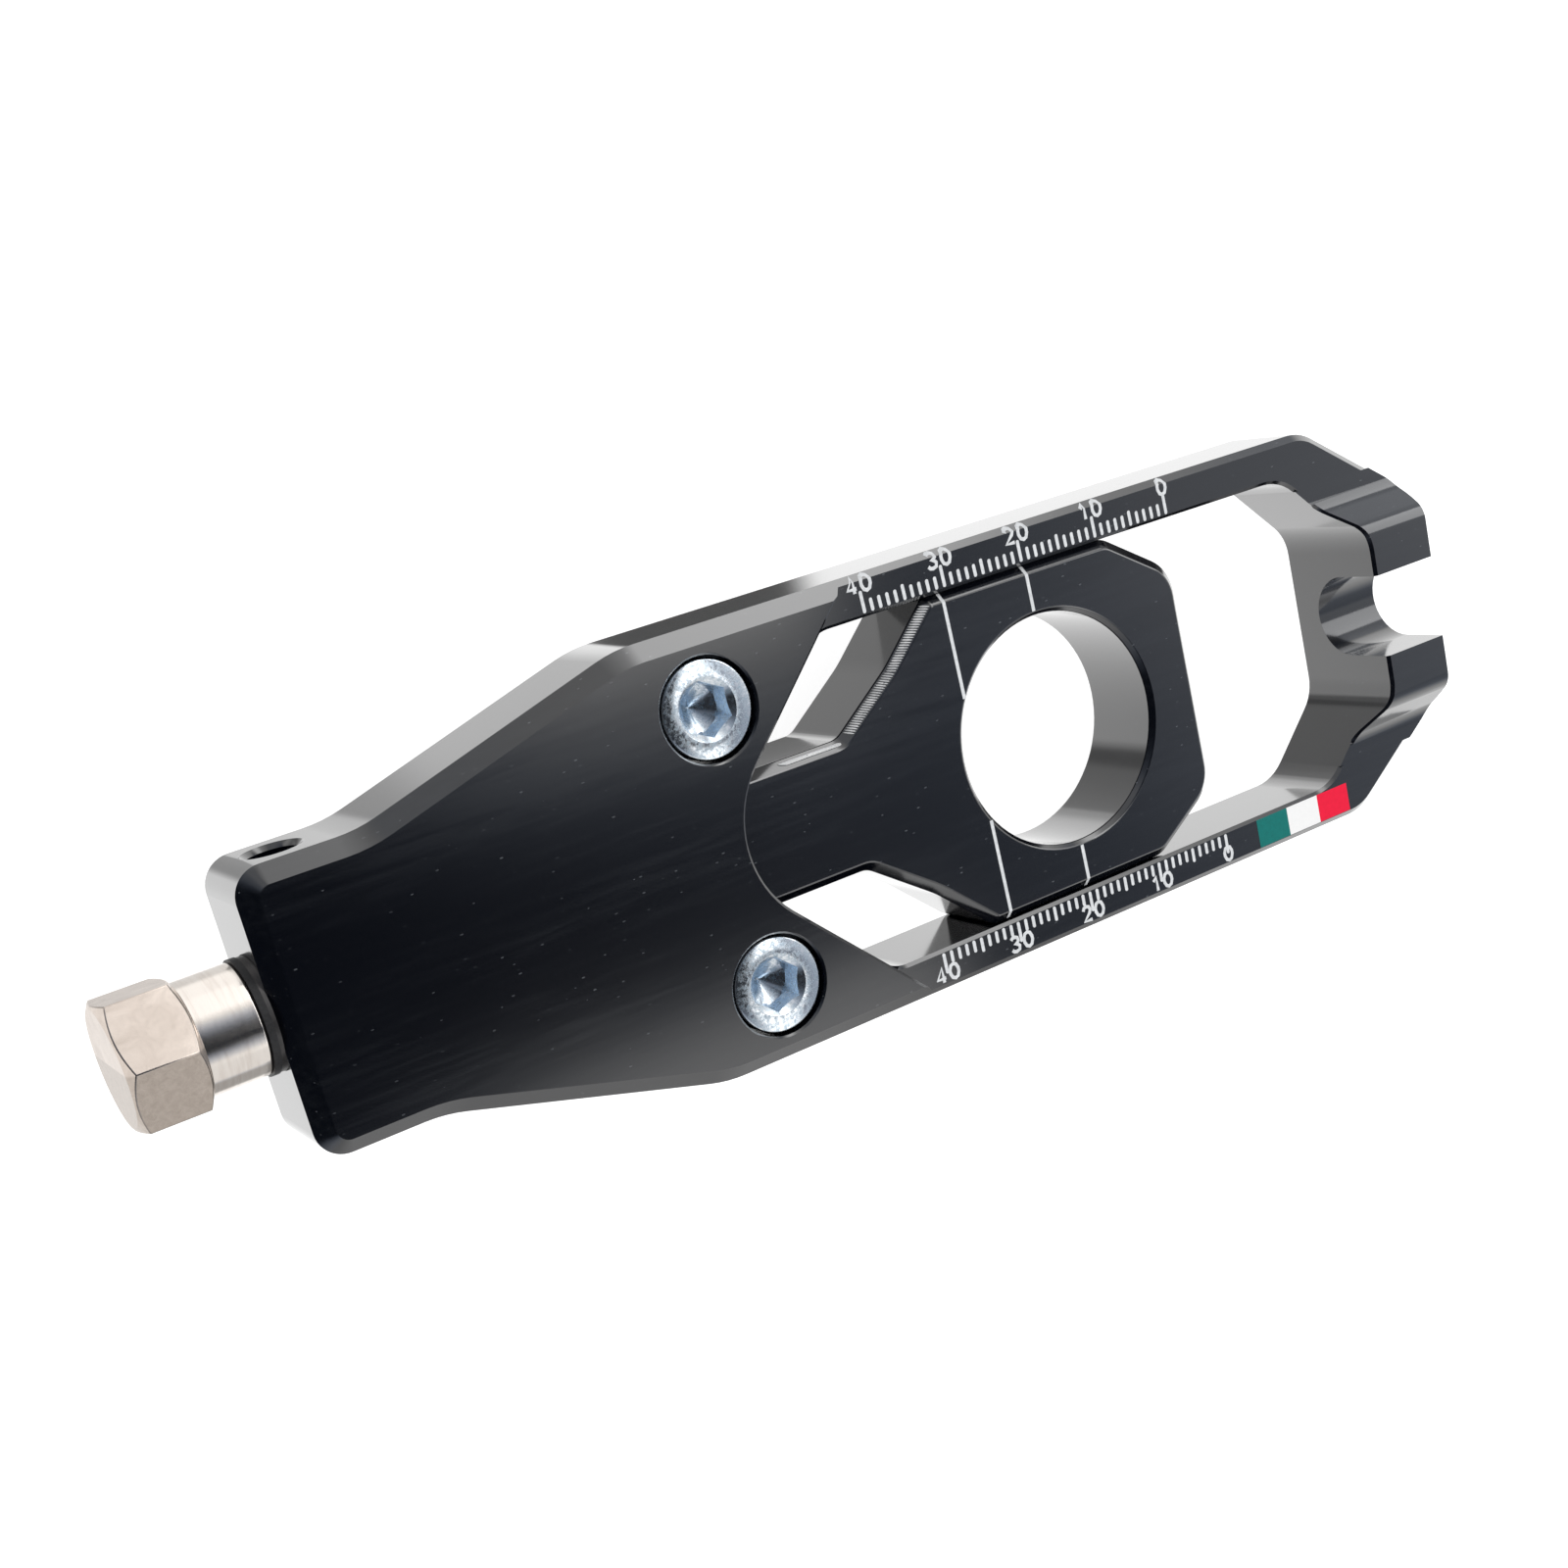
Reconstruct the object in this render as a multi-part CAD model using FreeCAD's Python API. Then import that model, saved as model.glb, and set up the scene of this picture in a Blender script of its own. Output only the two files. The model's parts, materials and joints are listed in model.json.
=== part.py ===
"""Chain adjuster for a motorcycle swingarm, with its adjusting bolt and fixing screws.

A milled aluminium frame is fixed to the swingarm end. The axle slider runs in its window and
carries the rear axle. The slider's neck runs in a tunnel under the frame's housing, where the
captive adjusting bolt is threaded into it: turning the bolt moves the slider along X.

The origin is where the axle bore's axis (Z) meets the bolt's axis (X). X runs from the bolt's
head (-X) to the hook (+X), Y across, and the back of the part that meets the swingarm is -Z.
Millimetres throughout.
"""
import math
import os

import FreeCAD
import Part

# Sizes that several pieces share
BACK_Z = -5.5
RAIL_Z = 5.5
BOLT_R = 4.0
NECK_HALF_WIDTH = 7.0
SCREW_R = 3.0
SCREW_HEAD_R = 5.0

# Clearance all round between a moving or fitted piece and what it fits in
SLIDER_CLEARANCE = 0.05
NECK_CLEARANCE = 0.1
BOLT_CLEARANCE = 0.05
SCREW_CLEARANCE = 0.3

# Plate that the frame is milled from
HOUSING_Z = 6.5
END_X = -89.5
END_HALF_WIDTH = 14.05
END_CORNER_R = 3.0
TAPER_START_X = -77.1
TAPER_END_X = -48.2
TAPER_BLEND_R = 15.0
HALF_WIDTH = 22.4
TOP_BEVEL = 1.7
BACK_BEVEL = 0.7

# Hook end of the frame
HOOK_SIDE_X = 40.7
HOOK_END_X = 53.7
HOOK_END_HALF_WIDTH = 13.4
HOOK_SIDE_R = 6.0
HOOK_END_R = 4.5
HOOK_Z = 9.2
HOOK_CREST_HALF_WIDTH = 10.3
HOOK_FOOT_HALF_WIDTH = 13.6
HOOK_CREST_R = 2.6
HOOK_FOOT_R = 2.6
GROOVE_R = 4.7
GROOVE_Z = 3.5

# Window that the slider runs in
WINDOW_APEX_X = -44.7
WINDOW_APEX_R = 10.9
WINDOW_HALF_WIDTH = 18.0
WINDOW_SIDE_R = 4.0
WINDOW_TAPER_R = 6.0
WINDOW_END_X = 44.7
WINDOW_END_HALF_WIDTH = 9.6
WINDOW_END_R = 5.0
RAIL_EDGE_BEVEL = 0.35
HOUSING_EDGE_BEVEL = 0.3
WINDOW_BACK_BEVEL = 0.7

# Tunnel for the neck, milled from the back up to the frame's end wall
END_WALL = 12.0
TUNNEL_END_X = END_X + END_WALL
TUNNEL_HALF_WIDTH = NECK_HALF_WIDTH + NECK_CLEARANCE
TUNNEL_ROOF_Z = RAIL_Z + NECK_CLEARANCE
TUNNEL_CORNER_R = 3.0

# Holes in the housing
BOLT_BORE_R = BOLT_R + BOLT_CLEARANCE
SCREW_X = -40.7
SCREW_Y = 14.4
COUNTERBORE_R = SCREW_HEAD_R + SCREW_CLEARANCE
COUNTERBORE_EDGE_BEVEL = 0.2
SCREW_SEAT_Z = 0.1
SCREW_HOLE_R = SCREW_R + SCREW_CLEARANCE
SIDE_HOLE_X = END_X + 5.7
SIDE_HOLE_R = 2.5
SIDE_HOLE_MOUTH_R = 3.0
SIDE_HOLE_DEPTH = 7.75
DRILL_POINT_ANGLE = 118.0

# Axle slider
SLIDER_END_X = 19.25
SLIDER_END_HALF_WIDTH = 12.45
SLIDER_END_R = 5.0
SLIDER_SHOULDER_X = 10.8
SLIDER_SHOULDER_R = 3.0
SLIDER_HALF_WIDTH = WINDOW_HALF_WIDTH - SLIDER_CLEARANCE
SLIDER_REAR_X = -13.1
SLIDER_REAR_R = 1.5
FLANK_BEND_X = -19.3
FLANK_BEND_Y = 12.25
FLANK_BEND_R = 15.0
NECK_ROOT_X = -26.7
NECK_ROOT_R = 2.5
NECK_END_X = -66.0
NECK_END_R = 2.0
SLIDER_TOP_BEVEL = 1.0
SLIDER_BACK_BEVEL = 0.5
AXLE_BORE_R = 12.5
AXLE_BORE_BEVEL = 0.5
NECK_THREAD_R = BOLT_R + BOLT_CLEARANCE
NECK_THREAD_END_X = -24.0

# Washer and thrust ring, stacked on the bolt against the frame's end
WASHER_R = 5.6
WASHER_THICKNESS = 0.4
THRUST_RING_R = 5.7
THRUST_RING_THICKNESS = 0.7
WASHER_X = END_X - WASHER_THICKNESS
THRUST_RING_X = WASHER_X - THRUST_RING_THICKNESS

# Adjusting bolt, M8 x 1.25, with its collar on the thrust ring
BOLT_TIP_X = -38.0
BOLT_TIP_BEVEL = 0.8
COLLAR_R = 5.5
COLLAR_LENGTH = 5.7
COLLAR_BEVEL = 0.2
HEAD_RIGHT_X = THRUST_RING_X - COLLAR_LENGTH
HEAD_LENGTH = 7.1
HEAD_ACROSS_FLATS = 12.0
HEAD_FACE_R = 5.7
HEAD_BEVEL_ANGLE = 30.0
HEAD_CLOCKING = -4.0

# Clip in the bolt's groove, just inside the frame's end wall
CLIP_GROOVE_X = TUNNEL_END_X + 0.25
CLIP_GROOVE_WIDTH = 0.9
CLIP_GROOVE_R = 3.6
CLIP_THICKNESS = 0.8
CLIP_R = 5.2
CLIP_GAP = 5.0

# Fixing screws, M6 x 12 socket head: a plain grip in the plate, then the thread
SCREW_LENGTH = 12.0
SCREW_THREAD_R = 2.95
SCREW_GRIP_LENGTH = 5.8
SCREW_HEAD_HEIGHT = 6.0
SCREW_HEAD_BEVEL = 0.45
SCREW_TIP_BEVEL = 0.5
SOCKET_ACROSS_FLATS = 5.0
SOCKET_DEPTH = 3.0

# How far a cutting tool runs past the face it cuts
OVERRUN = 2.0

X_AXIS = FreeCAD.Vector(1, 0, 0)
Y_AXIS = FreeCAD.Vector(0, 1, 0)
Z_AXIS = FreeCAD.Vector(0, 0, 1)


def mirrored(upper):
    """Complete a list of (x, y, radius) corners above the X axis with its mirror image below."""
    on_axis = [corner for corner in upper if corner[1] == 0]
    above = [corner for corner in upper if corner[1] > 0]
    below = [(x, -y, radius) for x, y, radius in reversed(above)]
    return on_axis + above + below


def grown(corners, distance):
    """Move every side of a clockwise outline outwards; a reflex corner's radius shrinks."""
    moved = []
    for index, (x, y, radius) in enumerate(corners):
        before = corners[index - 1]
        after = corners[(index + 1) % len(corners)]
        into = FreeCAD.Vector(x - before[0], y - before[1], 0).normalize()
        out = FreeCAD.Vector(after[0] - x, after[1] - y, 0).normalize()
        turn = into.x * out.y - into.y * out.x
        normal_in = FreeCAD.Vector(-into.y, into.x, 0)
        normal_out = FreeCAD.Vector(-out.y, out.x, 0)
        shift = (normal_in + normal_out) * (distance / (1 + normal_in.dot(normal_out)))
        new_radius = radius
        if radius:
            new_radius = radius + distance if turn < 0 else radius - distance
        moved.append((x + shift.x, y + shift.y, new_radius))
    return moved


def outline(corners, z):
    """Closed wire through (x, y, radius) corners at height z, each rounded by its radius."""
    starts = []
    ends = []
    arcs = []
    for index, (x, y, radius) in enumerate(corners):
        corner = FreeCAD.Vector(x, y, z)
        before = corners[index - 1]
        after = corners[(index + 1) % len(corners)]
        back = (FreeCAD.Vector(before[0], before[1], z) - corner).normalize()
        ahead = (FreeCAD.Vector(after[0], after[1], z) - corner).normalize()
        if radius == 0:
            starts.append(corner)
            ends.append(corner)
            arcs.append(None)
            continue
        half_angle = back.getAngle(ahead) / 2
        reach = radius / math.tan(half_angle)
        bisector = (back + ahead).normalize()
        middle = corner + bisector * (radius / math.sin(half_angle) - radius)
        start = corner + back * reach
        end = corner + ahead * reach
        starts.append(start)
        ends.append(end)
        arcs.append(Part.Arc(start, middle, end).toShape())
    edges = []
    for index, arc in enumerate(arcs):
        if arc:
            edges.append(arc)
        edges.append(Part.makeLine(ends[index], starts[(index + 1) % len(corners)]))
    return Part.Wire(edges)


def prism(corners, bottom, top):
    """Straight-sided solid on an outline, from bottom to top."""
    face = Part.Face(outline(corners, bottom))
    return face.extrude(Z_AXIS * (top - bottom))


def frustum(corners, bottom, top, bottom_growth, top_growth):
    """Solid whose outline grows by different amounts at its bottom and at its top."""
    lower = outline(grown(corners, bottom_growth), bottom)
    upper = outline(grown(corners, top_growth), top)
    return Part.makeLoft([lower, upper], True, True)


def bevelled_prism(corners, bottom, top, bottom_bevel, top_bevel):
    """Solid on an outline with 45 degree bevels round both of its faces."""
    foot = frustum(corners, bottom, bottom + bottom_bevel, -bottom_bevel, 0)
    body = prism(corners, bottom + bottom_bevel, top - top_bevel)
    cap = frustum(corners, top - top_bevel, top, 0, -top_bevel)
    return foot.fuse([body, cap]).removeSplitter()


def turned(profile, axis):
    """Revolve closed (along, radius) points round an axis through the origin."""
    radial = Y_AXIS if axis == X_AXIS else X_AXIS
    points = [axis * along + radial * radius for along, radius in profile]
    face = Part.Face(Part.makePolygon(points + points[:1]))
    return face.revolve(FreeCAD.Vector(), axis, 360)


def hexagon(across_flats, axis, start, length, clocking):
    """Hexagonal bar along an axis, with one corner turned by clocking from the first radial."""
    corner_r = across_flats / math.sqrt(3)
    first = Z_AXIS if axis == X_AXIS else X_AXIS
    points = []
    for step in range(7):
        turn = FreeCAD.Rotation(axis, clocking + 60 * step)
        points.append(axis * start + turn.multVec(first * corner_r))
    return Part.Face(Part.makePolygon(points)).extrude(axis * length)


def at_screws(shape):
    """The two copies of a shape at the fixing screws' places."""
    copies = []
    for side in (1, -1):
        copy = shape.copy()
        copy.translate(FreeCAD.Vector(SCREW_X, side * SCREW_Y, 0))
        copies.append(copy)
    return copies


def plate_corners():
    return mirrored([
        (END_X, END_HALF_WIDTH, END_CORNER_R),
        (TAPER_START_X, END_HALF_WIDTH, TAPER_BLEND_R),
        (TAPER_END_X, HALF_WIDTH, TAPER_BLEND_R),
        (HOOK_SIDE_X, HALF_WIDTH, HOOK_SIDE_R),
        (HOOK_END_X, HOOK_END_HALF_WIDTH, HOOK_END_R),
    ])


def window_corners():
    """The window: a V towards the housing, parallel rails, and a narrowed end at the hook."""
    v_end_x = WINDOW_APEX_X + WINDOW_HALF_WIDTH
    taper_x = WINDOW_END_X - (WINDOW_HALF_WIDTH - WINDOW_END_HALF_WIDTH)
    return mirrored([
        (WINDOW_APEX_X, 0, WINDOW_APEX_R),
        (v_end_x, WINDOW_HALF_WIDTH, WINDOW_SIDE_R),
        (taper_x, WINDOW_HALF_WIDTH, WINDOW_TAPER_R),
        (WINDOW_END_X, WINDOW_END_HALF_WIDTH, WINDOW_END_R),
    ])


def rail_side_corners():
    """Everything on the hook's side of the diagonal step between housing and rails."""
    reach = HALF_WIDTH + OVERRUN
    return mirrored([
        (WINDOW_APEX_X, 0, WINDOW_APEX_R),
        (WINDOW_APEX_X + reach, reach, 0),
        (HOOK_END_X + OVERRUN, reach, 0),
    ])


def slider_corners():
    return mirrored([
        (NECK_END_X, NECK_HALF_WIDTH, NECK_END_R),
        (NECK_ROOT_X, NECK_HALF_WIDTH, NECK_ROOT_R),
        (FLANK_BEND_X, FLANK_BEND_Y, FLANK_BEND_R),
        (SLIDER_REAR_X, SLIDER_HALF_WIDTH, SLIDER_REAR_R),
        (SLIDER_SHOULDER_X, SLIDER_HALF_WIDTH, SLIDER_SHOULDER_R),
        (SLIDER_END_X, SLIDER_END_HALF_WIDTH, SLIDER_END_R),
    ])


def step_cutter():
    """Mills the rails down from the housing's face and leaves the step's thin bevel."""
    corners = rail_side_corners()
    bevel_z = HOUSING_Z - HOUSING_EDGE_BEVEL
    wall = prism(corners, RAIL_Z, bevel_z)
    lip = frustum(corners, bevel_z, HOUSING_Z, 0, HOUSING_EDGE_BEVEL)
    clear = prism(grown(corners, HOUSING_EDGE_BEVEL), HOUSING_Z, HOUSING_Z + OVERRUN)
    return wall.fuse([lip, clear])


def window_cutter():
    """The through window with bevelled edges on the rails' faces and on the back."""
    corners = window_corners()
    through = prism(corners, BACK_Z - OVERRUN, HOUSING_Z + OVERRUN)
    rail_edge = frustum(corners, RAIL_Z - RAIL_EDGE_BEVEL, RAIL_Z, 0, RAIL_EDGE_BEVEL)
    rail_edge = rail_edge.common(prism(rail_side_corners(), BACK_Z, RAIL_Z))
    back_edge = frustum(corners, BACK_Z, BACK_Z + WINDOW_BACK_BEVEL, WINDOW_BACK_BEVEL, 0)
    return through.fuse([rail_edge, back_edge])


def hook_profile():
    """Cross-section of the raised end: flat crest, rolled shoulders, faired into the rails."""
    base_z = RAIL_Z - TOP_BEVEL
    far_half_width = HOOK_FOOT_HALF_WIDTH + HOOK_FOOT_R
    upper = [
        (HOOK_Z, HOOK_CREST_HALF_WIDTH, HOOK_CREST_R),
        (RAIL_Z, HOOK_FOOT_HALF_WIDTH, HOOK_FOOT_R),
        (RAIL_Z, far_half_width, 0),
        (base_z, far_half_width, 0),
    ]
    # Drawn flat with its height along X, then stood up on the YZ plane.
    lower = [(z, -half_width, radius) for z, half_width, radius in reversed(upper)]
    wire = outline(upper + lower, 0)
    wire.rotate(FreeCAD.Vector(), Y_AXIS, -90)
    return wire


def hook():
    """The raised end: the crest's section along X, trimmed to the plan between two walls."""
    section = Part.Face(hook_profile())
    length = HOOK_END_X + OVERRUN
    bar = section.extrude(X_AXIS * length)
    plan = prism(plate_corners(), BACK_Z, HOOK_Z + OVERRUN)
    window = prism(window_corners(), BACK_Z - OVERRUN, HOOK_Z + OVERRUN * 2)
    return bar.common(plan).cut(window)


def hook_groove():
    """Round-bottomed groove along X through the hook, open to the front."""
    start = FreeCAD.Vector(HOOK_SIDE_X - OVERRUN, 0, GROOVE_Z)
    length = HOOK_END_X - HOOK_SIDE_X + 2 * OVERRUN
    bottom = Part.makeCylinder(GROOVE_R, length, start, X_AXIS)
    corner = start - Y_AXIS * GROOVE_R
    slot = Part.makeBox(length, 2 * GROOVE_R, HOOK_Z - GROOVE_Z + OVERRUN, corner)
    return bottom.fuse(slot)


def neck_tunnel():
    """Slot for the slider's neck, milled from the back up to a thin roof."""
    corners = mirrored([
        (TUNNEL_END_X, TUNNEL_HALF_WIDTH, TUNNEL_CORNER_R),
        (WINDOW_APEX_X + TUNNEL_HALF_WIDTH + OVERRUN, TUNNEL_HALF_WIDTH, 0),
    ])
    return prism(corners, BACK_Z - OVERRUN, TUNNEL_ROOF_Z)


def screw_hole():
    """Counterbored hole for one fixing screw, on the Z axis."""
    edge_z = HOUSING_Z - COUNTERBORE_EDGE_BEVEL
    mouth_r = COUNTERBORE_R + COUNTERBORE_EDGE_BEVEL
    return turned([
        (BACK_Z - OVERRUN, 0),
        (BACK_Z - OVERRUN, SCREW_HOLE_R),
        (SCREW_SEAT_Z, SCREW_HOLE_R),
        (SCREW_SEAT_Z, COUNTERBORE_R),
        (edge_z, COUNTERBORE_R),
        (HOUSING_Z, mouth_r),
        (HOUSING_Z + OVERRUN, mouth_r),
        (HOUSING_Z + OVERRUN, 0),
    ], Z_AXIS)


def drill_point(radius):
    """Depth of the conical bottom that a drill of this radius leaves."""
    return radius / math.tan(math.radians(DRILL_POINT_ANGLE / 2))


def side_hole():
    """Blind threaded hole in the side face, with a countersunk mouth and a drilled bottom."""
    sink = SIDE_HOLE_MOUTH_R - SIDE_HOLE_R
    bottom_y = END_HALF_WIDTH - SIDE_HOLE_DEPTH
    hole = turned([
        (bottom_y - drill_point(SIDE_HOLE_R), 0),
        (bottom_y, SIDE_HOLE_R),
        (END_HALF_WIDTH - sink, SIDE_HOLE_R),
        (END_HALF_WIDTH, SIDE_HOLE_MOUTH_R),
        (END_HALF_WIDTH + OVERRUN, SIDE_HOLE_MOUTH_R),
        (END_HALF_WIDTH + OVERRUN, 0),
    ], Y_AXIS)
    hole.translate(X_AXIS * SIDE_HOLE_X)
    return hole


def adjuster_frame():
    plate = bevelled_prism(plate_corners(), BACK_Z, HOUSING_Z, BACK_BEVEL, TOP_BEVEL)
    body = plate.cut(step_cutter())
    body = body.cut(window_cutter())
    body = body.fuse(hook()).cut(hook_groove())
    body = body.cut(neck_tunnel())
    bolt_bore_start = FreeCAD.Vector(END_X - OVERRUN, 0, 0)
    bolt_bore_length = TUNNEL_END_X - END_X + 2 * OVERRUN
    body = body.cut(Part.makeCylinder(BOLT_BORE_R, bolt_bore_length, bolt_bore_start, X_AXIS))
    body = body.cut(at_screws(screw_hole()))
    body = body.cut(side_hole())
    return body.removeSplitter()


def axle_slider():
    body = bevelled_prism(
        slider_corners(), BACK_Z, RAIL_Z, SLIDER_BACK_BEVEL, SLIDER_TOP_BEVEL)
    mouth_r = AXLE_BORE_R + AXLE_BORE_BEVEL
    axle_bore = turned([
        (BACK_Z, 0),
        (BACK_Z, mouth_r),
        (BACK_Z + AXLE_BORE_BEVEL, AXLE_BORE_R),
        (RAIL_Z - AXLE_BORE_BEVEL, AXLE_BORE_R),
        (RAIL_Z, mouth_r),
        (RAIL_Z, 0),
    ], Z_AXIS)
    thread_hole = turned([
        (NECK_END_X - OVERRUN, 0),
        (NECK_END_X - OVERRUN, NECK_THREAD_R),
        (NECK_THREAD_END_X, NECK_THREAD_R),
        (NECK_THREAD_END_X + drill_point(NECK_THREAD_R), 0),
    ], X_AXIS)
    return body.cut([axle_bore, thread_hole]).removeSplitter()


def adjusting_bolt():
    """Hexagon head bevelled at both ends, collar, journal with clip groove, threaded shank."""
    corner_r = HEAD_ACROSS_FLATS / math.sqrt(3)
    bevel = (corner_r - HEAD_FACE_R) * math.tan(math.radians(HEAD_BEVEL_ANGLE))
    left_x = HEAD_RIGHT_X - HEAD_LENGTH
    head = hexagon(HEAD_ACROSS_FLATS, X_AXIS, left_x, HEAD_LENGTH, HEAD_CLOCKING)
    envelope = turned([
        (left_x, 0),
        (left_x, HEAD_FACE_R),
        (left_x + bevel, corner_r),
        (HEAD_RIGHT_X - bevel, corner_r),
        (HEAD_RIGHT_X, HEAD_FACE_R),
        (HEAD_RIGHT_X, 0),
    ], X_AXIS)
    groove_end_x = CLIP_GROOVE_X + CLIP_GROOVE_WIDTH
    shank = turned([
        (HEAD_RIGHT_X - OVERRUN, 0),
        (HEAD_RIGHT_X - OVERRUN, COLLAR_R),
        (THRUST_RING_X - COLLAR_BEVEL, COLLAR_R),
        (THRUST_RING_X, COLLAR_R - COLLAR_BEVEL),
        (THRUST_RING_X, BOLT_R),
        (CLIP_GROOVE_X, BOLT_R),
        (CLIP_GROOVE_X, CLIP_GROOVE_R),
        (groove_end_x, CLIP_GROOVE_R),
        (groove_end_x, BOLT_R),
        (BOLT_TIP_X - BOLT_TIP_BEVEL, BOLT_R),
        (BOLT_TIP_X, BOLT_R - BOLT_TIP_BEVEL),
        (BOLT_TIP_X, 0),
    ], X_AXIS)
    return head.common(envelope).fuse(shank).removeSplitter()


def ring(left_x, right_x, outer_r):
    """Flat ring on the bolt's journal."""
    return turned([
        (left_x, BOLT_R),
        (left_x, outer_r),
        (right_x, outer_r),
        (right_x, BOLT_R),
    ], X_AXIS)


def retaining_clip():
    """Open clip in the bolt's groove that holds the bolt in the end wall."""
    left_x = CLIP_GROOVE_X + (CLIP_GROOVE_WIDTH - CLIP_THICKNESS) / 2
    disc = turned([
        (left_x, CLIP_GROOVE_R),
        (left_x, CLIP_R),
        (left_x + CLIP_THICKNESS, CLIP_R),
        (left_x + CLIP_THICKNESS, CLIP_GROOVE_R),
    ], X_AXIS)
    mouth_corner = FreeCAD.Vector(left_x - OVERRUN, -CLIP_GAP / 2, -CLIP_R - OVERRUN)
    mouth = Part.makeBox(CLIP_THICKNESS + 2 * OVERRUN, CLIP_GAP, CLIP_R + OVERRUN, mouth_corner)
    return disc.cut(mouth)


def fixing_screws():
    """Both socket head screws, as separate solids of one node."""
    head_z = SCREW_SEAT_Z + SCREW_HEAD_HEIGHT
    tip_z = SCREW_SEAT_Z - SCREW_LENGTH
    grip_end_z = SCREW_SEAT_Z - SCREW_GRIP_LENGTH
    body = turned([
        (tip_z, 0),
        (tip_z, SCREW_THREAD_R - SCREW_TIP_BEVEL),
        (tip_z + SCREW_TIP_BEVEL, SCREW_THREAD_R),
        (grip_end_z, SCREW_THREAD_R),
        (grip_end_z, SCREW_R),
        (SCREW_SEAT_Z, SCREW_R),
        (SCREW_SEAT_Z, SCREW_HEAD_R),
        (head_z - SCREW_HEAD_BEVEL, SCREW_HEAD_R),
        (head_z, SCREW_HEAD_R - SCREW_HEAD_BEVEL),
        (head_z, 0),
    ], Z_AXIS)
    socket = hexagon(SOCKET_ACROSS_FLATS, Z_AXIS, head_z - SOCKET_DEPTH,
                     SOCKET_DEPTH + OVERRUN, 0)
    return Part.makeCompound(at_screws(body.cut(socket)))


def main():
    pieces = {
        "adjuster_frame": adjuster_frame(),
        "axle_slider": axle_slider(),
        "adjusting_bolt": adjusting_bolt(),
        "thrust_ring": ring(THRUST_RING_X, WASHER_X, THRUST_RING_R),
        "thrust_washer": ring(WASHER_X, END_X, WASHER_R),
        "retaining_clip": retaining_clip(),
        "fixing_screws": fixing_screws(),
    }
    os.makedirs("parts", exist_ok=True)
    for name, shape in pieces.items():
        shape.exportStep("parts/" + name + ".step")


main()
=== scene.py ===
"""Finish, markings and studio for the motorcycle chain adjuster.

The frame and slider are black anodised, with a white scale and index lines. The adjusting bolt
is bare satin metal and the two fixing screws are zinc plated. Lengths below are given in
millimetres and multiplied by MM, in the frame's own axes: X along the bolt towards the hook,
Y across, Z out of the face that carries the scale.
"""

import json
import math

import bmesh
import bpy
from mathutils import Matrix
from mathutils import Vector

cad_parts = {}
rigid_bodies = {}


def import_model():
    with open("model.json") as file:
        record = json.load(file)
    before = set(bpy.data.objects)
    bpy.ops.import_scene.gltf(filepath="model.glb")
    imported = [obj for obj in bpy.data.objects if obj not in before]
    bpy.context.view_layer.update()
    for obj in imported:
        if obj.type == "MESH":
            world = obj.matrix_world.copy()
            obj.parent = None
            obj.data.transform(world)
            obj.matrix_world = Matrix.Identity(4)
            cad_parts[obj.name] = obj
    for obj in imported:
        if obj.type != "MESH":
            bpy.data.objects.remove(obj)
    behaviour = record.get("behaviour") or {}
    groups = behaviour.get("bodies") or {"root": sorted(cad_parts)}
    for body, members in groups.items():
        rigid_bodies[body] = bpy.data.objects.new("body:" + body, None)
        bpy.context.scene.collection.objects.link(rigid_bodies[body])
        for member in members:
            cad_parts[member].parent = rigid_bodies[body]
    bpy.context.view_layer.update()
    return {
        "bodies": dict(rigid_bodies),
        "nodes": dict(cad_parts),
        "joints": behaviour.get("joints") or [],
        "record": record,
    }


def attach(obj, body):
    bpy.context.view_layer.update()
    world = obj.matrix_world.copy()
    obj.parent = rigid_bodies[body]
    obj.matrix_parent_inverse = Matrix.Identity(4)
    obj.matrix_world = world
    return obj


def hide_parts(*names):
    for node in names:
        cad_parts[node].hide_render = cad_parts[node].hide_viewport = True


MM = 0.001

# Machined levels and edges of the frame and slider
RAIL_Z = 5.5
RAIL_OUTER_Y = 22.4
RAIL_BEVEL = 0.7
SLIDER_HALF_WIDTH = 17.95
SLIDER_BEVEL = 1.0
AXLE_MOUTH_R = 13.0
WINDOW_RIM_START_X = 36.0
WINDOW_RIM_RISE = 0.1
WINDOW_RIM_CHAMFER = 0.36
FRAME_EDGE = 0.12
SLIDER_EDGE = 0.1
BOLT_EDGE = 0.14

# Scale: 41 marks, 1 mm apart, counted from its zero
SCALE_ZERO_X = 19.37
SCALE_MARKS = 41
SCALE_PITCH = 1.0
MARK_INNER_Y = 18.4
MARK_WIDTH = 0.42
MARK_SHORT = 1.35
MARK_FIVE = 1.65
MARK_TEN = 2.3
MARK_PROUD = 0.02
DIGIT_HEIGHT = 1.62
DIGIT_WIDTH = 1.08
DIGIT_GAP = 0.66
DIGIT_STROKE = 0.4
DIGIT_BASE_Y = {1: 20.56, -1: -21.5}

# Index lines across the slider
INDEX_LINES_X = (-0.35, -11.18)
INDEX_LINE_WIDTH = 0.4
INDEX_LINE_SUNK = 0.03
INDEX_BORE_MARGIN = 0.05
INDEX_SIDE_MARGIN = 0.12

# Ribs that the cutter left on the slider's upper flank bevel, coloured near white as a painted
# highlight: first and last rib, and slant
RIB_RUNS = (
    ((-25.4, 7.3), (-19.2, 11.7), 24.0),
    ((-18.9, 11.9), (-13.3, 17.1), 24.0),
    ((-33.6, 6.55), (-26.6, 6.55), 68.0),
)
RIB_Z = 5.03
RIB_PITCH = 0.3
RIB_LENGTH = 1.2
RIB_WIDTH = 0.19

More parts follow.
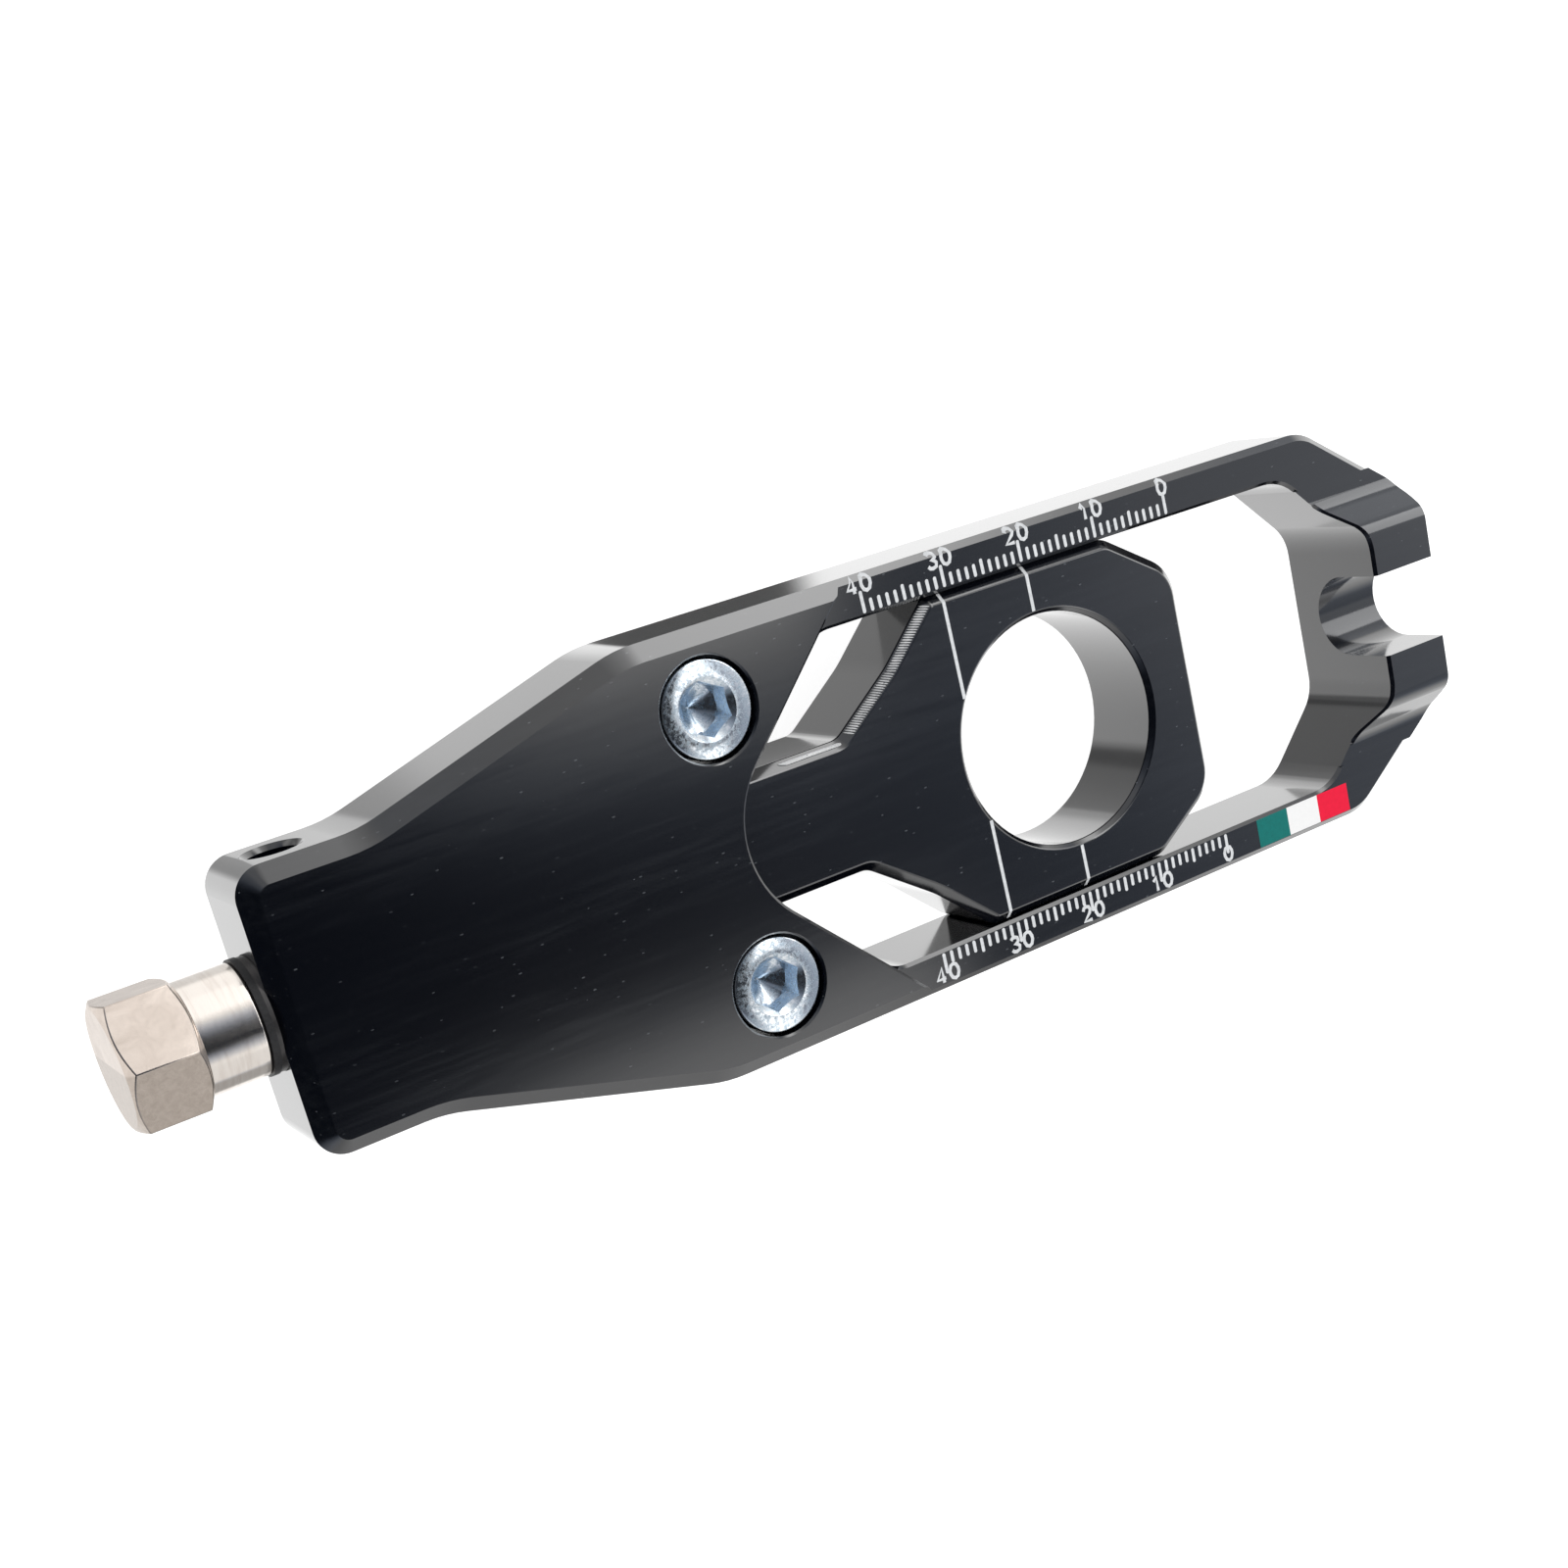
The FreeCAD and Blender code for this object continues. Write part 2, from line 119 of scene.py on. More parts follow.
# Tricolour on the lower rail, from the scale towards the hook
STRIPE_EDGES_X = (24.2, 28.9, 33.7, 38.5)
STRIPE_INNER_Y = 18.35
STRIPE_OUTER_Y = 21.65
STRIPE_SUNK = 0.02
STRIPE_PROUD = 0.012

# Adjusting bolt
HEX_END_X = -96.2
# Painted shade: the hexagon's near half, below these Y edges, is coloured darker
HEX_SHADED_HALF_Y = (0.3, 0.5)
BOLT_PITCH = 1.25
BOLT_R = 4.0
BOLT_CORE_R = 3.3
BOLT_THREAD_START_X = -75.9
BOLT_TIP_X = -38.0
BOLT_THREAD_SIDES = 40

# Fixing screws. The head's round is pairs of inset and drop from its top corner, and the
# grip's taper is the heights of its two ends from where the thread starts.
SCREW_X = -40.7
SCREW_Y = 14.4
SCREW_SIDES = 96
SCREW_CLOCKING = {1: 32.0, -1: 18.0}
SCREW_SEAT_Z = 0.1
SCREW_SEAT_CHAMFER = 0.15
SCREW_HEAD_R = 5.0
SCREW_HEAD_TOP_Z = 6.1
SCREW_HEAD_ROUND = ((0.0, 0.36), (0.05, 0.2), (0.16, 0.07), (0.32, 0.0))
SCREW_GRIP_R = 3.0
SCREW_GRIP_FOOT_R = 2.4
SCREW_GRIP_END_Z = -5.7
SCREW_GRIP_TAPER = (-0.3, 0.15)
SCREW_TIP_Z = -11.9
SCREW_PITCH = 1.0
SCREW_THREAD_R = 2.95
SCREW_CORE_R = 2.45
SCREW_THREAD_SIDES = 32
SOCKET_ACROSS_FLATS = 5.0
SOCKET_DEPTH = 3.0
SOCKET_MOUTH_R = 3.15
SOCKET_MOUTH_EDGE = 0.06
SOCKET_MOUTH_DROP = 0.03
SOCKET_CONE_DEGREES = 38.0
SOCKET_WALL_TOP = 0.6
DRILL_R = 2.42
DRILL_TIP_R = 0.12
DRILL_DEPTH = 1.35

# Thread profile: rows of points in a turn, and the share of a pitch in which it runs out
PROFILE_ROWS = 4.0
RUNOUT = 0.6

# How near points are merged, what counts as a sliver, and the least bend that stays an edge
WELD = 0.001
SEAM = 0.0005
SLIVER = 0.0002
FLAT_DEGREES = 0.5

# Finishes: the plain colour, then the one that streaks, clouds or dirt bring in
FRAME_COLOURS = ((0.0005, 0.001, 0.003), (0.004, 0.005, 0.0075))
SLIDER_COLOURS = ((0.0005, 0.001, 0.003), (0.0045, 0.0055, 0.0085))
# Painted highlight: near-white ridges on the slider's flank bevel
RIDGE_HIGHLIGHT_COLOURS = ((0.9, 0.91, 0.92), (0.55, 0.56, 0.57))
FLECK_COLOUR = (0.075, 0.082, 0.09)
# Painted shade: darker colours for the hexagon's near (-Y) half
HEX_SHADE_COLOURS = ((0.56, 0.49, 0.43), (0.42, 0.36, 0.31))
MILLED_COLOURS = ((0.74, 0.65, 0.58), (0.58, 0.5, 0.44))
TURNED_COLOURS = ((0.88, 0.82, 0.76), (0.8, 0.73, 0.67))
WASHER_COLOURS = ((0.1, 0.095, 0.095), (0.04, 0.04, 0.04))
CLIP_COLOURS = ((0.16, 0.16, 0.17), (0.08, 0.08, 0.09))
RING_COLOURS = ((0.012, 0.012, 0.013), (0.03, 0.03, 0.032))
ZINC_COLOURS = ((0.92, 0.95, 0.98), (0.5, 0.6, 0.68))
# Painted light: a bluer copy of the plating so the socket walls show as lit facets
SOCKET_LIT_COLOURS = ((0.74, 0.87, 0.98), (0.58, 0.74, 0.92))
MARK_COLOURS = ((0.86, 0.88, 0.9), (0.58, 0.6, 0.62))
GREEN_COLOURS = ((0.0, 0.19, 0.17), (0.0, 0.15, 0.135))
WHITE_COLOURS = ((0.94, 0.94, 0.94), (0.9, 0.9, 0.9))
RED_COLOURS = ((0.92, 0.002, 0.045), (0.82, 0.002, 0.038))
ANODISED_ROUGHNESS = 0.105

# The studio as the object mirrors it. A span of two gives where something begins and is full,
# and one of four also where it fades and ends, as the mirrored direction's share along X or
# across Y. A pair of lights is a base and what a rise adds to it. The near side is towards -Y,
# the far side towards +Y.
NEAR_WALL_Y = (0.36, 0.7)
NEAR_WALL_CURVE = 1.2
NEAR_WALL_LIGHT = 0.8
FAR_WALL_Y = (-0.05, 0.75)
FAR_WALL_CURVE = 2.2
FAR_WALL_PAST_HOOK_X = (0.56, 0.68)
FAR_WALL_PAST_HOOK_DIM = 0.8
FAR_WALL_RISE_X = (0.0, 0.3)
FAR_WALL_LIGHT = (0.65, 0.8)
FAR_WALL_BAND_X = (0.31, 0.41, 0.5, 0.58)
FAR_WALL_BAND_LIGHT = 1.6
HOOK_WALL_X = (0.27, 0.62)
HOOK_WALL_CURVE = 2.6
HOOK_WALL_LIGHT = 0.56
HOOK_WALL_MORE_X = (0.69, 0.85)
HOOK_WALL_MORE_LIGHT = 0.4
HOOK_WALL_NEAR_Y = (0.15, 0.26)
HOOK_WALL_NEAR_LIGHT = (0.95, -0.35)
FAR_BOX_X = (0.26, 0.38)
FAR_BOX_Y = (-0.27, -0.105)
FAR_BOX_CURVE = 4.0
FAR_BOX_LIGHT = 2.7
NEAR_BOX_X = (0.22, 0.32)
NEAR_BOX_Y = (0.345, 0.37)
NEAR_BOX_SKEW = 0.15
NEAR_BOX_LIGHT = 1.35
BOXES_END_X = (0.48, 0.5)
BOXES_LEAST_Z = 0.6
BOLT_END_DARK_X = (-0.85, -0.25)
ROOM_LEAST = 0.02
HORIZON_Z = (-0.08, 0.04)
COOL_BELOW = (0.1, 0.8)
COOL_COLOUR = (0.82, 0.95, 1.2)
PLAIN_COLOUR = (1.0, 1.0, 1.0)
SOFT_LIGHT = 0.9

# The table in those reflections, and by what share it is dimmed in places
TABLE_LIGHT = 1.12
BEYOND_Y = (0.12, 0.22)
BEYOND_SKEW = 0.3
BEYOND_END_Y = (0.68, 0.8)
BEYOND_END_X = (0.25, 0.34)
BEYOND_STEP_X = (0.165, 0.185)
BEYOND_STEP_DIM = 0.5
BEYOND_DIM = 0.65
CORNER_X = (-0.52, -0.49, -0.4, -0.34)
CORNER_Y = (0.35, 0.39)
CORNER_DIM = 0.4
NEAR_DIP_Y = (0.7, 0.8)
NEAR_DIP_X = (0.42, 0.55)
NEAR_DIP_DIM = (0.64, 0.25)
GAP_X = (0.385, 0.4, 0.48, 0.492)
GAP_Y = (0.0, 0.08, 0.19, 0.26)
GAP_DIM = 0.94

# The table as the camera sees it
FLOOR_Z = -11.93
FLOOR_R = 1600.0
FLOOR_GREY = (0.62, 0.62, 0.62)
FLOOR_GLOW = 0.86


# Node building


def output(source):
    """A socket as it is, or a node's first output."""
    return source.outputs[0] if isinstance(source, bpy.types.Node) else source


def add_node(tree, kind, links=None, values=None):
    """One node, its inputs linked to sockets or nodes, or set, by name or index."""
    node = tree.nodes.new(kind)
    for key, source in (links or {}).items():
        tree.links.new(output(source), node.inputs[key])
    for key, value in (values or {}).items():
        node.inputs[key].default_value = value
    return node


def maths(tree, operation, first, second=None, third=None):
    """One Math node; each operand is a socket, a node or a number."""
    node = tree.nodes.new("ShaderNodeMath")
    node.operation = operation
    for index, operand in enumerate((first, second, third)):
        if operand is None:
            continue
        if isinstance(operand, (int, float)):
            node.inputs[index].default_value = operand
        else:
            tree.links.new(output(operand), node.inputs[index])
    return node.outputs[0]


def times(tree, first, *others):
    """Product of several operands."""
    for other in others:
        first = maths(tree, "MULTIPLY", first, other)
    return first


def inverse(tree, share):
    """What a share leaves of 1."""
    return maths(tree, "SUBTRACT", 1.0, share)


def rising(tree, value, span, curve=1.0):
    """0 up to the span's start, 1 from its end on, with a curved rise between them."""
    low, high = span
    share = maths(tree, "MULTIPLY_ADD", value, 1 / (high - low), -low / (high - low))
    held = add_node(tree, "ShaderNodeClamp", {"Value": share})
    return maths(tree, "POWER", held, curve)


def falling(tree, value, span):
    """1 up to the span's start and 0 from its end on."""
    return inverse(tree, rising(tree, value, span))


def between(tree, value, span):
    """Rises over the first half of a span of four and falls over the second half."""
    return times(tree, rising(tree, value, span[:2]), falling(tree, value, span[2:]))


def level(tree, share, limits):
    """A base value and what a share adds to it when it is 1."""
    base, added = limits
    return maths(tree, "MULTIPLY_ADD", share, added, base)


def dimmed(tree, value, mask, dim):
    """A value that loses a part of itself where the mask is 1."""
    return times(tree, value, level(tree, mask, (1.0, -dim)))


def remap(tree, value, from_span, to_span=(0.0, 1.0)):
    """Map Range node with clamping and smooth steps."""
    node = add_node(tree, "ShaderNodeMapRange", {"Value": value}, {
        "From Min": from_span[0], "From Max": from_span[1],
        "To Min": to_span[0], "To Max": to_span[1]})
    node.interpolation_type = "SMOOTHSTEP"
    return node.outputs["Result"]


def colour_mix(tree, factor, first, second):
    """Blend between two colours, each a tuple or a socket."""
    node = tree.nodes.new("ShaderNodeMix")
    node.data_type = "RGBA"
    tree.links.new(output(factor), node.inputs["Factor"])
    for label, operand in (("A", first), ("B", second)):
        socket = [s for s in node.inputs if s.name == label and s.type == "RGBA"][0]
        if isinstance(operand, tuple):
            socket.default_value = (*operand, 1.0)
        else:
            tree.links.new(operand, socket)
    return [s for s in node.outputs if s.type == "RGBA"][0]


def vector(tree, **parts):
    """Vector out of linked parts X, Y and Z; one that isn't named is 0."""
    return add_node(tree, "ShaderNodeCombineXYZ", parts)


def split(tree, place):
    """Outputs X, Y and Z of a vector."""
    return add_node(tree, "ShaderNodeSeparateXYZ", {0: place}).outputs


def object_spot(tree):
    """Where a point lies in the object's own axes."""
    return tree.nodes.new("ShaderNodeTexCoord").outputs["Object"]


# Shader groups


def new_group(name, inputs, outputs):
    """Shader node group with named number sockets: its tree, given values and end."""
    tree = bpy.data.node_groups.new(name, "ShaderNodeTree")
    for label, value in inputs.items():
        socket = tree.interface.new_socket(label, in_out="INPUT", socket_type="NodeSocketFloat")
        socket.default_value = value
    for label in outputs:
        tree.interface.new_socket(label, in_out="OUTPUT", socket_type="NodeSocketFloat")
    given = tree.nodes.new("NodeGroupInput").outputs
    return tree, given, tree.nodes.new("NodeGroupOutput")


def tool_mark_group():
    """Fine cutter marks along X: streaks for colour and roughness, and a height for bump."""
    tree, given, end = new_group(
        "tool_marks", {"Stretch": 14.0, "Fineness": 900.0}, ("Streaks", "Height"))
    spot = split(tree, object_spot(tree))
    drawn_out = vector(
        tree, X=maths(tree, "DIVIDE", spot["X"], given["Stretch"]), Y=spot["Y"], Z=spot["Z"])
    fine = add_node(tree, "ShaderNodeTexNoise", {
        "Vector": drawn_out, "Scale": given["Fineness"]}, {"Detail": 3.0, "Roughness": 0.6})
    broad = add_node(tree, "ShaderNodeTexNoise", {"Vector": drawn_out},
                     {"Scale": 130.0, "Detail": 2.0})
    streaks = times(tree, fine, broad)
    tree.links.new(remap(tree, streaks, (0.16, 0.42)), end.inputs["Streaks"])
    tree.links.new(output(fine), end.inputs["Height"])
    return tree


def fleck_group():
    """Sparse pale pin-pricks in a dark oxide layer, drawn out along the milling."""
    tree, given, end = new_group(
        "oxide_flecks", {"Spacing": 1900.0, "Size": 0.14, "Share": 0.5}, ("Flecks",))
    drawn_out = add_node(tree, "ShaderNodeMapping", {"Vector": object_spot(tree)}, {
        "Rotation": (0.0, 0.0, math.radians(-14.0)), "Scale": (0.4, 1.0, 1.0)})
    cells = add_node(tree, "ShaderNodeTexVoronoi", {
        "Vector": drawn_out, "Scale": given["Spacing"]})
    spot = maths(tree, "LESS_THAN", cells.outputs["Distance"], given["Size"])
    draws = add_node(tree, "ShaderNodeSeparateColor", {0: cells.outputs["Color"]})
    chosen = maths(tree, "LESS_THAN", draws.outputs[0], given["Share"])
    strength = maths(tree, "POWER", draws.outputs[1], 3.0)
    tree.links.new(times(tree, spot, chosen, strength), end.inputs["Flecks"])
    return tree


def mottle_group():
    """Cloudy variation of plating or oxide, from 0 to 1."""
    tree, given, end = new_group(
        "plating_mottle", {"Scale": 700.0, "Contrast": 0.5}, ("Mottle",))
    clouds = add_node(tree, "ShaderNodeTexNoise", {
        "Vector": object_spot(tree), "Scale": given["Scale"]},
        {"Detail": 5.0, "Roughness": 0.65, "Distortion": 0.6})
    scaled = times(tree, maths(tree, "SUBTRACT", clouds, 0.5), given["Contrast"])
    held = add_node(tree, "ShaderNodeClamp", {
        "Value": maths(tree, "MULTIPLY_ADD", scaled, 4.0, 0.5)})
    tree.links.new(output(held), end.inputs["Mottle"])
    return tree


# Materials


def new_material(name):
    """Empty node material with one Principled shader; returns it, its tree and the shader."""
    material = bpy.data.materials.new(name)
    material.use_nodes = True
    tree = material.node_tree
    tree.nodes.clear()
    shader = tree.nodes.new("ShaderNodeBsdfPrincipled")
    add_node(tree, "ShaderNodeOutputMaterial", {"Surface": shader})
    return material, tree, shader


def placed(tree, group, **values):
    """Put a node group in a material with its own input values."""
    node = tree.nodes.new("ShaderNodeGroup")
    node.node_tree = group
    for label, value in values.items():
        node.inputs[label].default_value = value
    return node


def dress(tree, shader, colour, rough, height, depth, strength):
    """Feed the shader's colour and roughness, and its normal from a bump's height."""
    tree.links.new(colour, shader.inputs["Base Color"])
    tree.links.new(rough, shader.inputs["Roughness"])
    relief = add_node(tree, "ShaderNodeBump", {"Height": height},
                      {"Distance": depth * MM, "Strength": strength})
    tree.links.new(output(relief), shader.inputs["Normal"])


def spread(tree, mask, roughness, more):
    """Roughness that grows by some more where the mask is 1."""
    return remap(tree, mask, (0.0, 1.0), (roughness, roughness + more))


def anodised(name, groups, colours, roughness):
    """Black dyed oxide on milled aluminium: dark face-on, bright where it is seen edge-on."""
    material, tree, shader = new_material(name)
    marks = placed(tree, groups["marks"], Stretch=16.0, Fineness=1400.0)
    flecks = placed(tree, groups["flecks"])
    streaked = colour_mix(tree, marks, *colours)
    specked = colour_mix(tree, flecks, streaked, FLECK_COLOUR)
    rough = spread(tree, marks, roughness, more=0.015)
    dress(tree, shader, specked, rough, marks.outputs["Height"], depth=0.004, strength=0.1)
    shader.inputs["IOR"].default_value = 1.9
    facing = add_node(tree, "ShaderNodeLayerWeight", None, {"Blend": 0.5})
    edge_on = remap(tree, facing.outputs["Facing"], (0.15, 0.7))
    tree.links.new(edge_on, shader.inputs["Coat Weight"])
    shader.inputs["Coat IOR"].default_value = 2.4
    shader.inputs["Coat Roughness"].default_value = 0.12
    return material


def bare_metal(name, groups, colours, roughness):
    """Satin bare metal with soft clouding and fine turning marks."""
    material, tree, shader = new_material(name)
    clouds = placed(tree, groups["mottle"], Scale=600.0, Contrast=0.35)
    marks = placed(tree, groups["marks"], Stretch=0.12, Fineness=260.0)
    colour = colour_mix(tree, clouds, *colours)
    rough = spread(tree, clouds, roughness, more=0.08)
    dress(tree, shader, colour, rough, marks.outputs["Height"], depth=0.008, strength=0.15)
    shader.inputs["Metallic"].default_value = 1.0
    return material


def bolt_metal(name, groups):
    """Satin bolt metal: cream milled hexagon with its near (-Y) half painted darker as shade,
    paler and smoother turned collar behind it.
    """
    material, tree, shader = new_material(name)
    spot = split(tree, object_spot(tree))
    turned = maths(tree, "GREATER_THAN", spot["X"], HEX_END_X * MM)
    # Painted shade: the hexagon below y = 0.3 to 0.5 mm takes the darker colours
    shaded_half = falling(tree, spot["Y"], [y * MM for y in HEX_SHADED_HALF_Y])
    clouds = placed(tree, groups["mottle"], Scale=420.0, Contrast=0.55)
    grain = placed(tree, groups["mottle"], Scale=1500.0, Contrast=0.45)
    marks = placed(tree, groups["marks"], Stretch=0.12, Fineness=260.0)
    shaded_colour = colour_mix(tree, grain, *HEX_SHADE_COLOURS)
    milled_colour = colour_mix(tree, clouds, *MILLED_COLOURS)
    hexagon_colour = colour_mix(tree, shaded_half, milled_colour, shaded_colour)
    turned_colour = colour_mix(tree, marks, *TURNED_COLOURS)
    colour = colour_mix(tree, turned, hexagon_colour, turned_colour)
    rough = remap(tree, turned, (0.0, 1.0), (0.26, 0.13))
    height = maths(tree, "MULTIPLY_ADD", clouds, 0.6, marks.outputs["Height"])
    dress(tree, shader, colour, rough, height, depth=0.008, strength=0.15)
    shader.inputs["Metallic"].default_value = 1.0
    return material


def zinc(name, groups, colours, metallic, roughness):
    """Blue passivated zinc: bright, faintly blue and mottled, rougher where it is dull."""
    material, tree, shader = new_material(name)
    clouds = placed(tree, groups["mottle"], Scale=2300.0, Contrast=0.9)
    colour = colour_mix(tree, clouds, *colours)
    rough = spread(tree, clouds, roughness, more=0.22)
    dress(tree, shader, colour, rough, clouds, depth=0.01, strength=0.12)
    shader.inputs["Metallic"].default_value = metallic
    return material


def enamel(name, groups, colours, roughness):
    """Thin paint fill or print, a little uneven."""
    material, tree, shader = new_material(name)
    clouds = placed(tree, groups["mottle"], Scale=1800.0, Contrast=0.5)
    colour = colour_mix(tree, clouds, *colours)
    rough = spread(tree, clouds, roughness, more=0.15)
    dress(tree, shader, colour, rough, clouds, depth=0.01, strength=0.2)
    shader.inputs["Specular IOR Level"].default_value = 0.25
    return material


def make_materials():
    """Every finish by its short name."""
    groups = {
        "marks": tool_mark_group(),
        "flecks": fleck_group(),
        "mottle": mottle_group(),
    }
    return {
        "frame": anodised("black_anodised_frame", groups, FRAME_COLOURS, ANODISED_ROUGHNESS),
        "slider": anodised("black_anodised_slider", groups, SLIDER_COLOURS, ANODISED_ROUGHNESS),
        # The ridges get a near-white base colour, a painted highlight
        "ridge_highlight": anodised("anodised_ridges_painted_highlight", groups, RIDGE_HIGHLIGHT_COLOURS, 0.3),
        "bolt": bolt_metal("satin_bolt_metal", groups),
        "washer": bare_metal("washer_steel", groups, WASHER_COLOURS, 0.3),
        "clip": bare_metal("phosphated_clip", groups, CLIP_COLOURS, 0.42),
        "ring": enamel("black_thrust_ring", groups, RING_COLOURS, 0.35),
        "zinc": zinc("blue_zinc_plating", groups, ZINC_COLOURS, 1.0, 0.1),
        # Painted light: the socket walls get a bluer, less metallic copy of the same plating so
        # they read as lit
        "socket": zinc("blue_zinc_socket_lit_copy", groups, SOCKET_LIT_COLOURS, 0.55, 0.2),
        "mark_fill": enamel("scale_fill", groups, MARK_COLOURS, 0.5),
        "green": enamel("stripe_green", groups, GREEN_COLOURS, 0.4),
        "white": enamel("stripe_white", groups, WHITE_COLOURS, 0.4),
        "red": enamel("stripe_red", groups, RED_COLOURS, 0.4),
    }


# Geometry node trees for what repeats


def new_geometry_tree(name, whole, numbers):
    """Geometry tree with a whole number, other numbers and a material as its inputs."""
    tree = bpy.data.node_groups.new(name, "GeometryNodeTree")
    kinds = [("Geometry", "Geometry"), (whole, "Int")]
    kinds += [(label, "Float") for label in numbers]
    kinds += [("Material", "Material")]
    for label, kind in kinds:
        tree.interface.new_socket(label, in_out="INPUT", socket_type="NodeSocket" + kind)
    tree.interface.new_socket("Geometry", in_out="OUTPUT", socket_type="NodeSocketGeometry")
    return tree, tree.nodes.new("NodeGroupInput").outputs


def finish_tree(tree, given, geometry):
    """Make the geometry real, give it the tree's material and put it out."""
    real = add_node(tree, "GeometryNodeRealizeInstances", {"Geometry": geometry})
    painted = add_node(tree, "GeometryNodeSetMaterial", {
        "Geometry": real, "Material": given["Material"]})
    add_node(tree, "NodeGroupOutput", {"Geometry": painted})
    return tree


def position(tree):
    """Outputs X, Y and Z of the point that is being worked on."""
    return split(tree, tree.nodes.new("GeometryNodeInputPosition"))


def stored(tree, geometry, name, value):
    """Geometry that keeps a number for each point under a name."""
    return add_node(tree, "GeometryNodeStoreNamedAttribute", {
        "Geometry": geometry, "Value": value}, {"Name": name})


def recalled(tree, name):
    """The number that each point keeps under a name."""
    node = add_node(tree, "GeometryNodeInputNamedAttribute", None, {"Name": name})
    return node.outputs["Attribute"]


def scale_marks_tree():
    """A row of rounded dabs; every fifth is longer and every tenth longest."""
    tree, given = new_geometry_tree("scale_marks", "Count", (
        "Pitch", "Width", "Short", "Five", "Ten", "Proud", "Side"))
    line = add_node(tree, "GeometryNodeMeshLine", {
        "Count": given["Count"], "Offset": vector(tree, X=times(tree, given["Pitch"], -1.0))})
    index = output(tree.nodes.new("GeometryNodeInputIndex"))
    length = given["Short"]
    for every, shorter, longer in ((5.0, "Short", "Five"), (10.0, "Five", "Ten")):
        chosen = maths(tree, "LESS_THAN", maths(tree, "FLOORED_MODULO", index, every), 0.5)
        extra = maths(tree, "SUBTRACT", given[longer], given[shorter])
        length = maths(tree, "MULTIPLY_ADD", chosen, extra, length)
    dab = add_node(tree, "GeometryNodeMeshCylinder", {
        "Radius": times(tree, given["Width"], 0.5), "Depth": given["Proud"]}, {"Vertices": 12})
    far_half = maths(tree, "GREATER_THAN", position(tree)["Y"], 0.0)
    row = add_node(tree, "GeometryNodeInstanceOnPoints", {
        "Points": stored(tree, line, "mark_length", length),
        "Instance": stored(tree, dab, "far_half", far_half)})
    real = add_node(tree, "GeometryNodeRealizeInstances", {"Geometry": row})
    reach = maths(tree, "SUBTRACT", recalled(tree, "mark_length"), given["Width"])
    stretch = times(tree, reach, recalled(tree, "far_half"))
    shift = vector(tree, Y=maths(tree, "MULTIPLY_ADD", given["Width"], 0.5, stretch))
    stretched = add_node(tree, "GeometryNodeSetPosition", {"Geometry": real, "Offset": shift})
    spot = position(tree)
    sided = vector(tree, X=spot["X"], Y=times(tree, spot["Y"], given["Side"]), Z=spot["Z"])
    turned = add_node(tree, "GeometryNodeSetPosition", {
        "Geometry": stretched, "Position": sided})
    return finish_tree(tree, given, turned)


def thread_tree():
    """Sixty degree thread round Z from 0 to its length, running out at both ends.

    A turn has four rows of points, at 0, 1/4, 9/16 and 11/16 of the pitch: the first two
    bound the root's flat and the other two the crest's.
    """
    tree, given = new_geometry_tree("screw_thread", "Sides", (
        "Length", "Pitch", "Crest Radius", "Root Radius"))
    turns = maths(tree, "CEIL", maths(tree, "DIVIDE", given["Length"], given["Pitch"]))
    last_row = maths(tree, "MULTIPLY_ADD", turns, PROFILE_ROWS, 2 * PROFILE_ROWS)
    grid = add_node(tree, "GeometryNodeMeshGrid", {
        "Size Y": last_row, "Vertices X": maths(tree, "ADD", given["Sides"], 1.0),
        "Vertices Y": maths(tree, "ADD", last_row, 1.0)}, {"Size X": 1.0})
    spot = position(tree)
    turn = maths(tree, "ADD", spot["X"], 0.5)
    from_middle = maths(tree, "ADD", spot["Y"], times(tree, last_row, 0.5))
    row = maths(tree, "ROUND", from_middle)
    step = maths(tree, "FLOORED_MODULO", row, PROFILE_ROWS)
    whole = maths(tree, "DIVIDE", maths(tree, "SUBTRACT", row, step), PROFILE_ROWS)
    on_crest = maths(tree, "GREATER_THAN", step, 1.5)
    last_step = maths(tree, "GREATER_THAN", step, 2.5)
    share = maths(tree, "MULTIPLY_ADD", on_crest, 1 / 16, times(tree, step, 1 / 4))
    share = maths(tree, "MULTIPLY_ADD", last_step, -1 / 8, share)
    wound = maths(tree, "ADD", maths(tree, "ADD", whole, share), turn)
    along = times(tree, maths(tree, "SUBTRACT", wound, 1.0), given["Pitch"])
    held = maths(tree, "MINIMUM", maths(tree, "MAXIMUM", along, 0.0), given["Length"])
    to_end = maths(tree, "MINIMUM", held, maths(tree, "SUBTRACT", given["Length"], held))
    runout = maths(tree, "DIVIDE", to_end, times(tree, given["Pitch"], RUNOUT))
    runout = maths(tree, "MINIMUM", runout, 1.0)
    depth = maths(tree, "SUBTRACT", given["Crest Radius"], given["Root Radius"])
    lift = times(tree, on_crest, runout, depth)
    radius = maths(tree, "ADD", lift, given["Root Radius"])
    angle = times(tree, turn, 2 * math.pi)
    helix = vector(tree, X=times(tree, maths(tree, "COSINE", angle), radius),
                   Y=times(tree, maths(tree, "SINE", angle), radius), Z=held)
    wrapped = add_node(tree, "GeometryNodeSetPosition", {"Geometry": grid, "Position": helix})
    closed = add_node(tree, "GeometryNodeMergeByDistance", {"Geometry": wrapped},
                      {"Distance": SEAM * MM})
    return finish_tree(tree, given, closed)


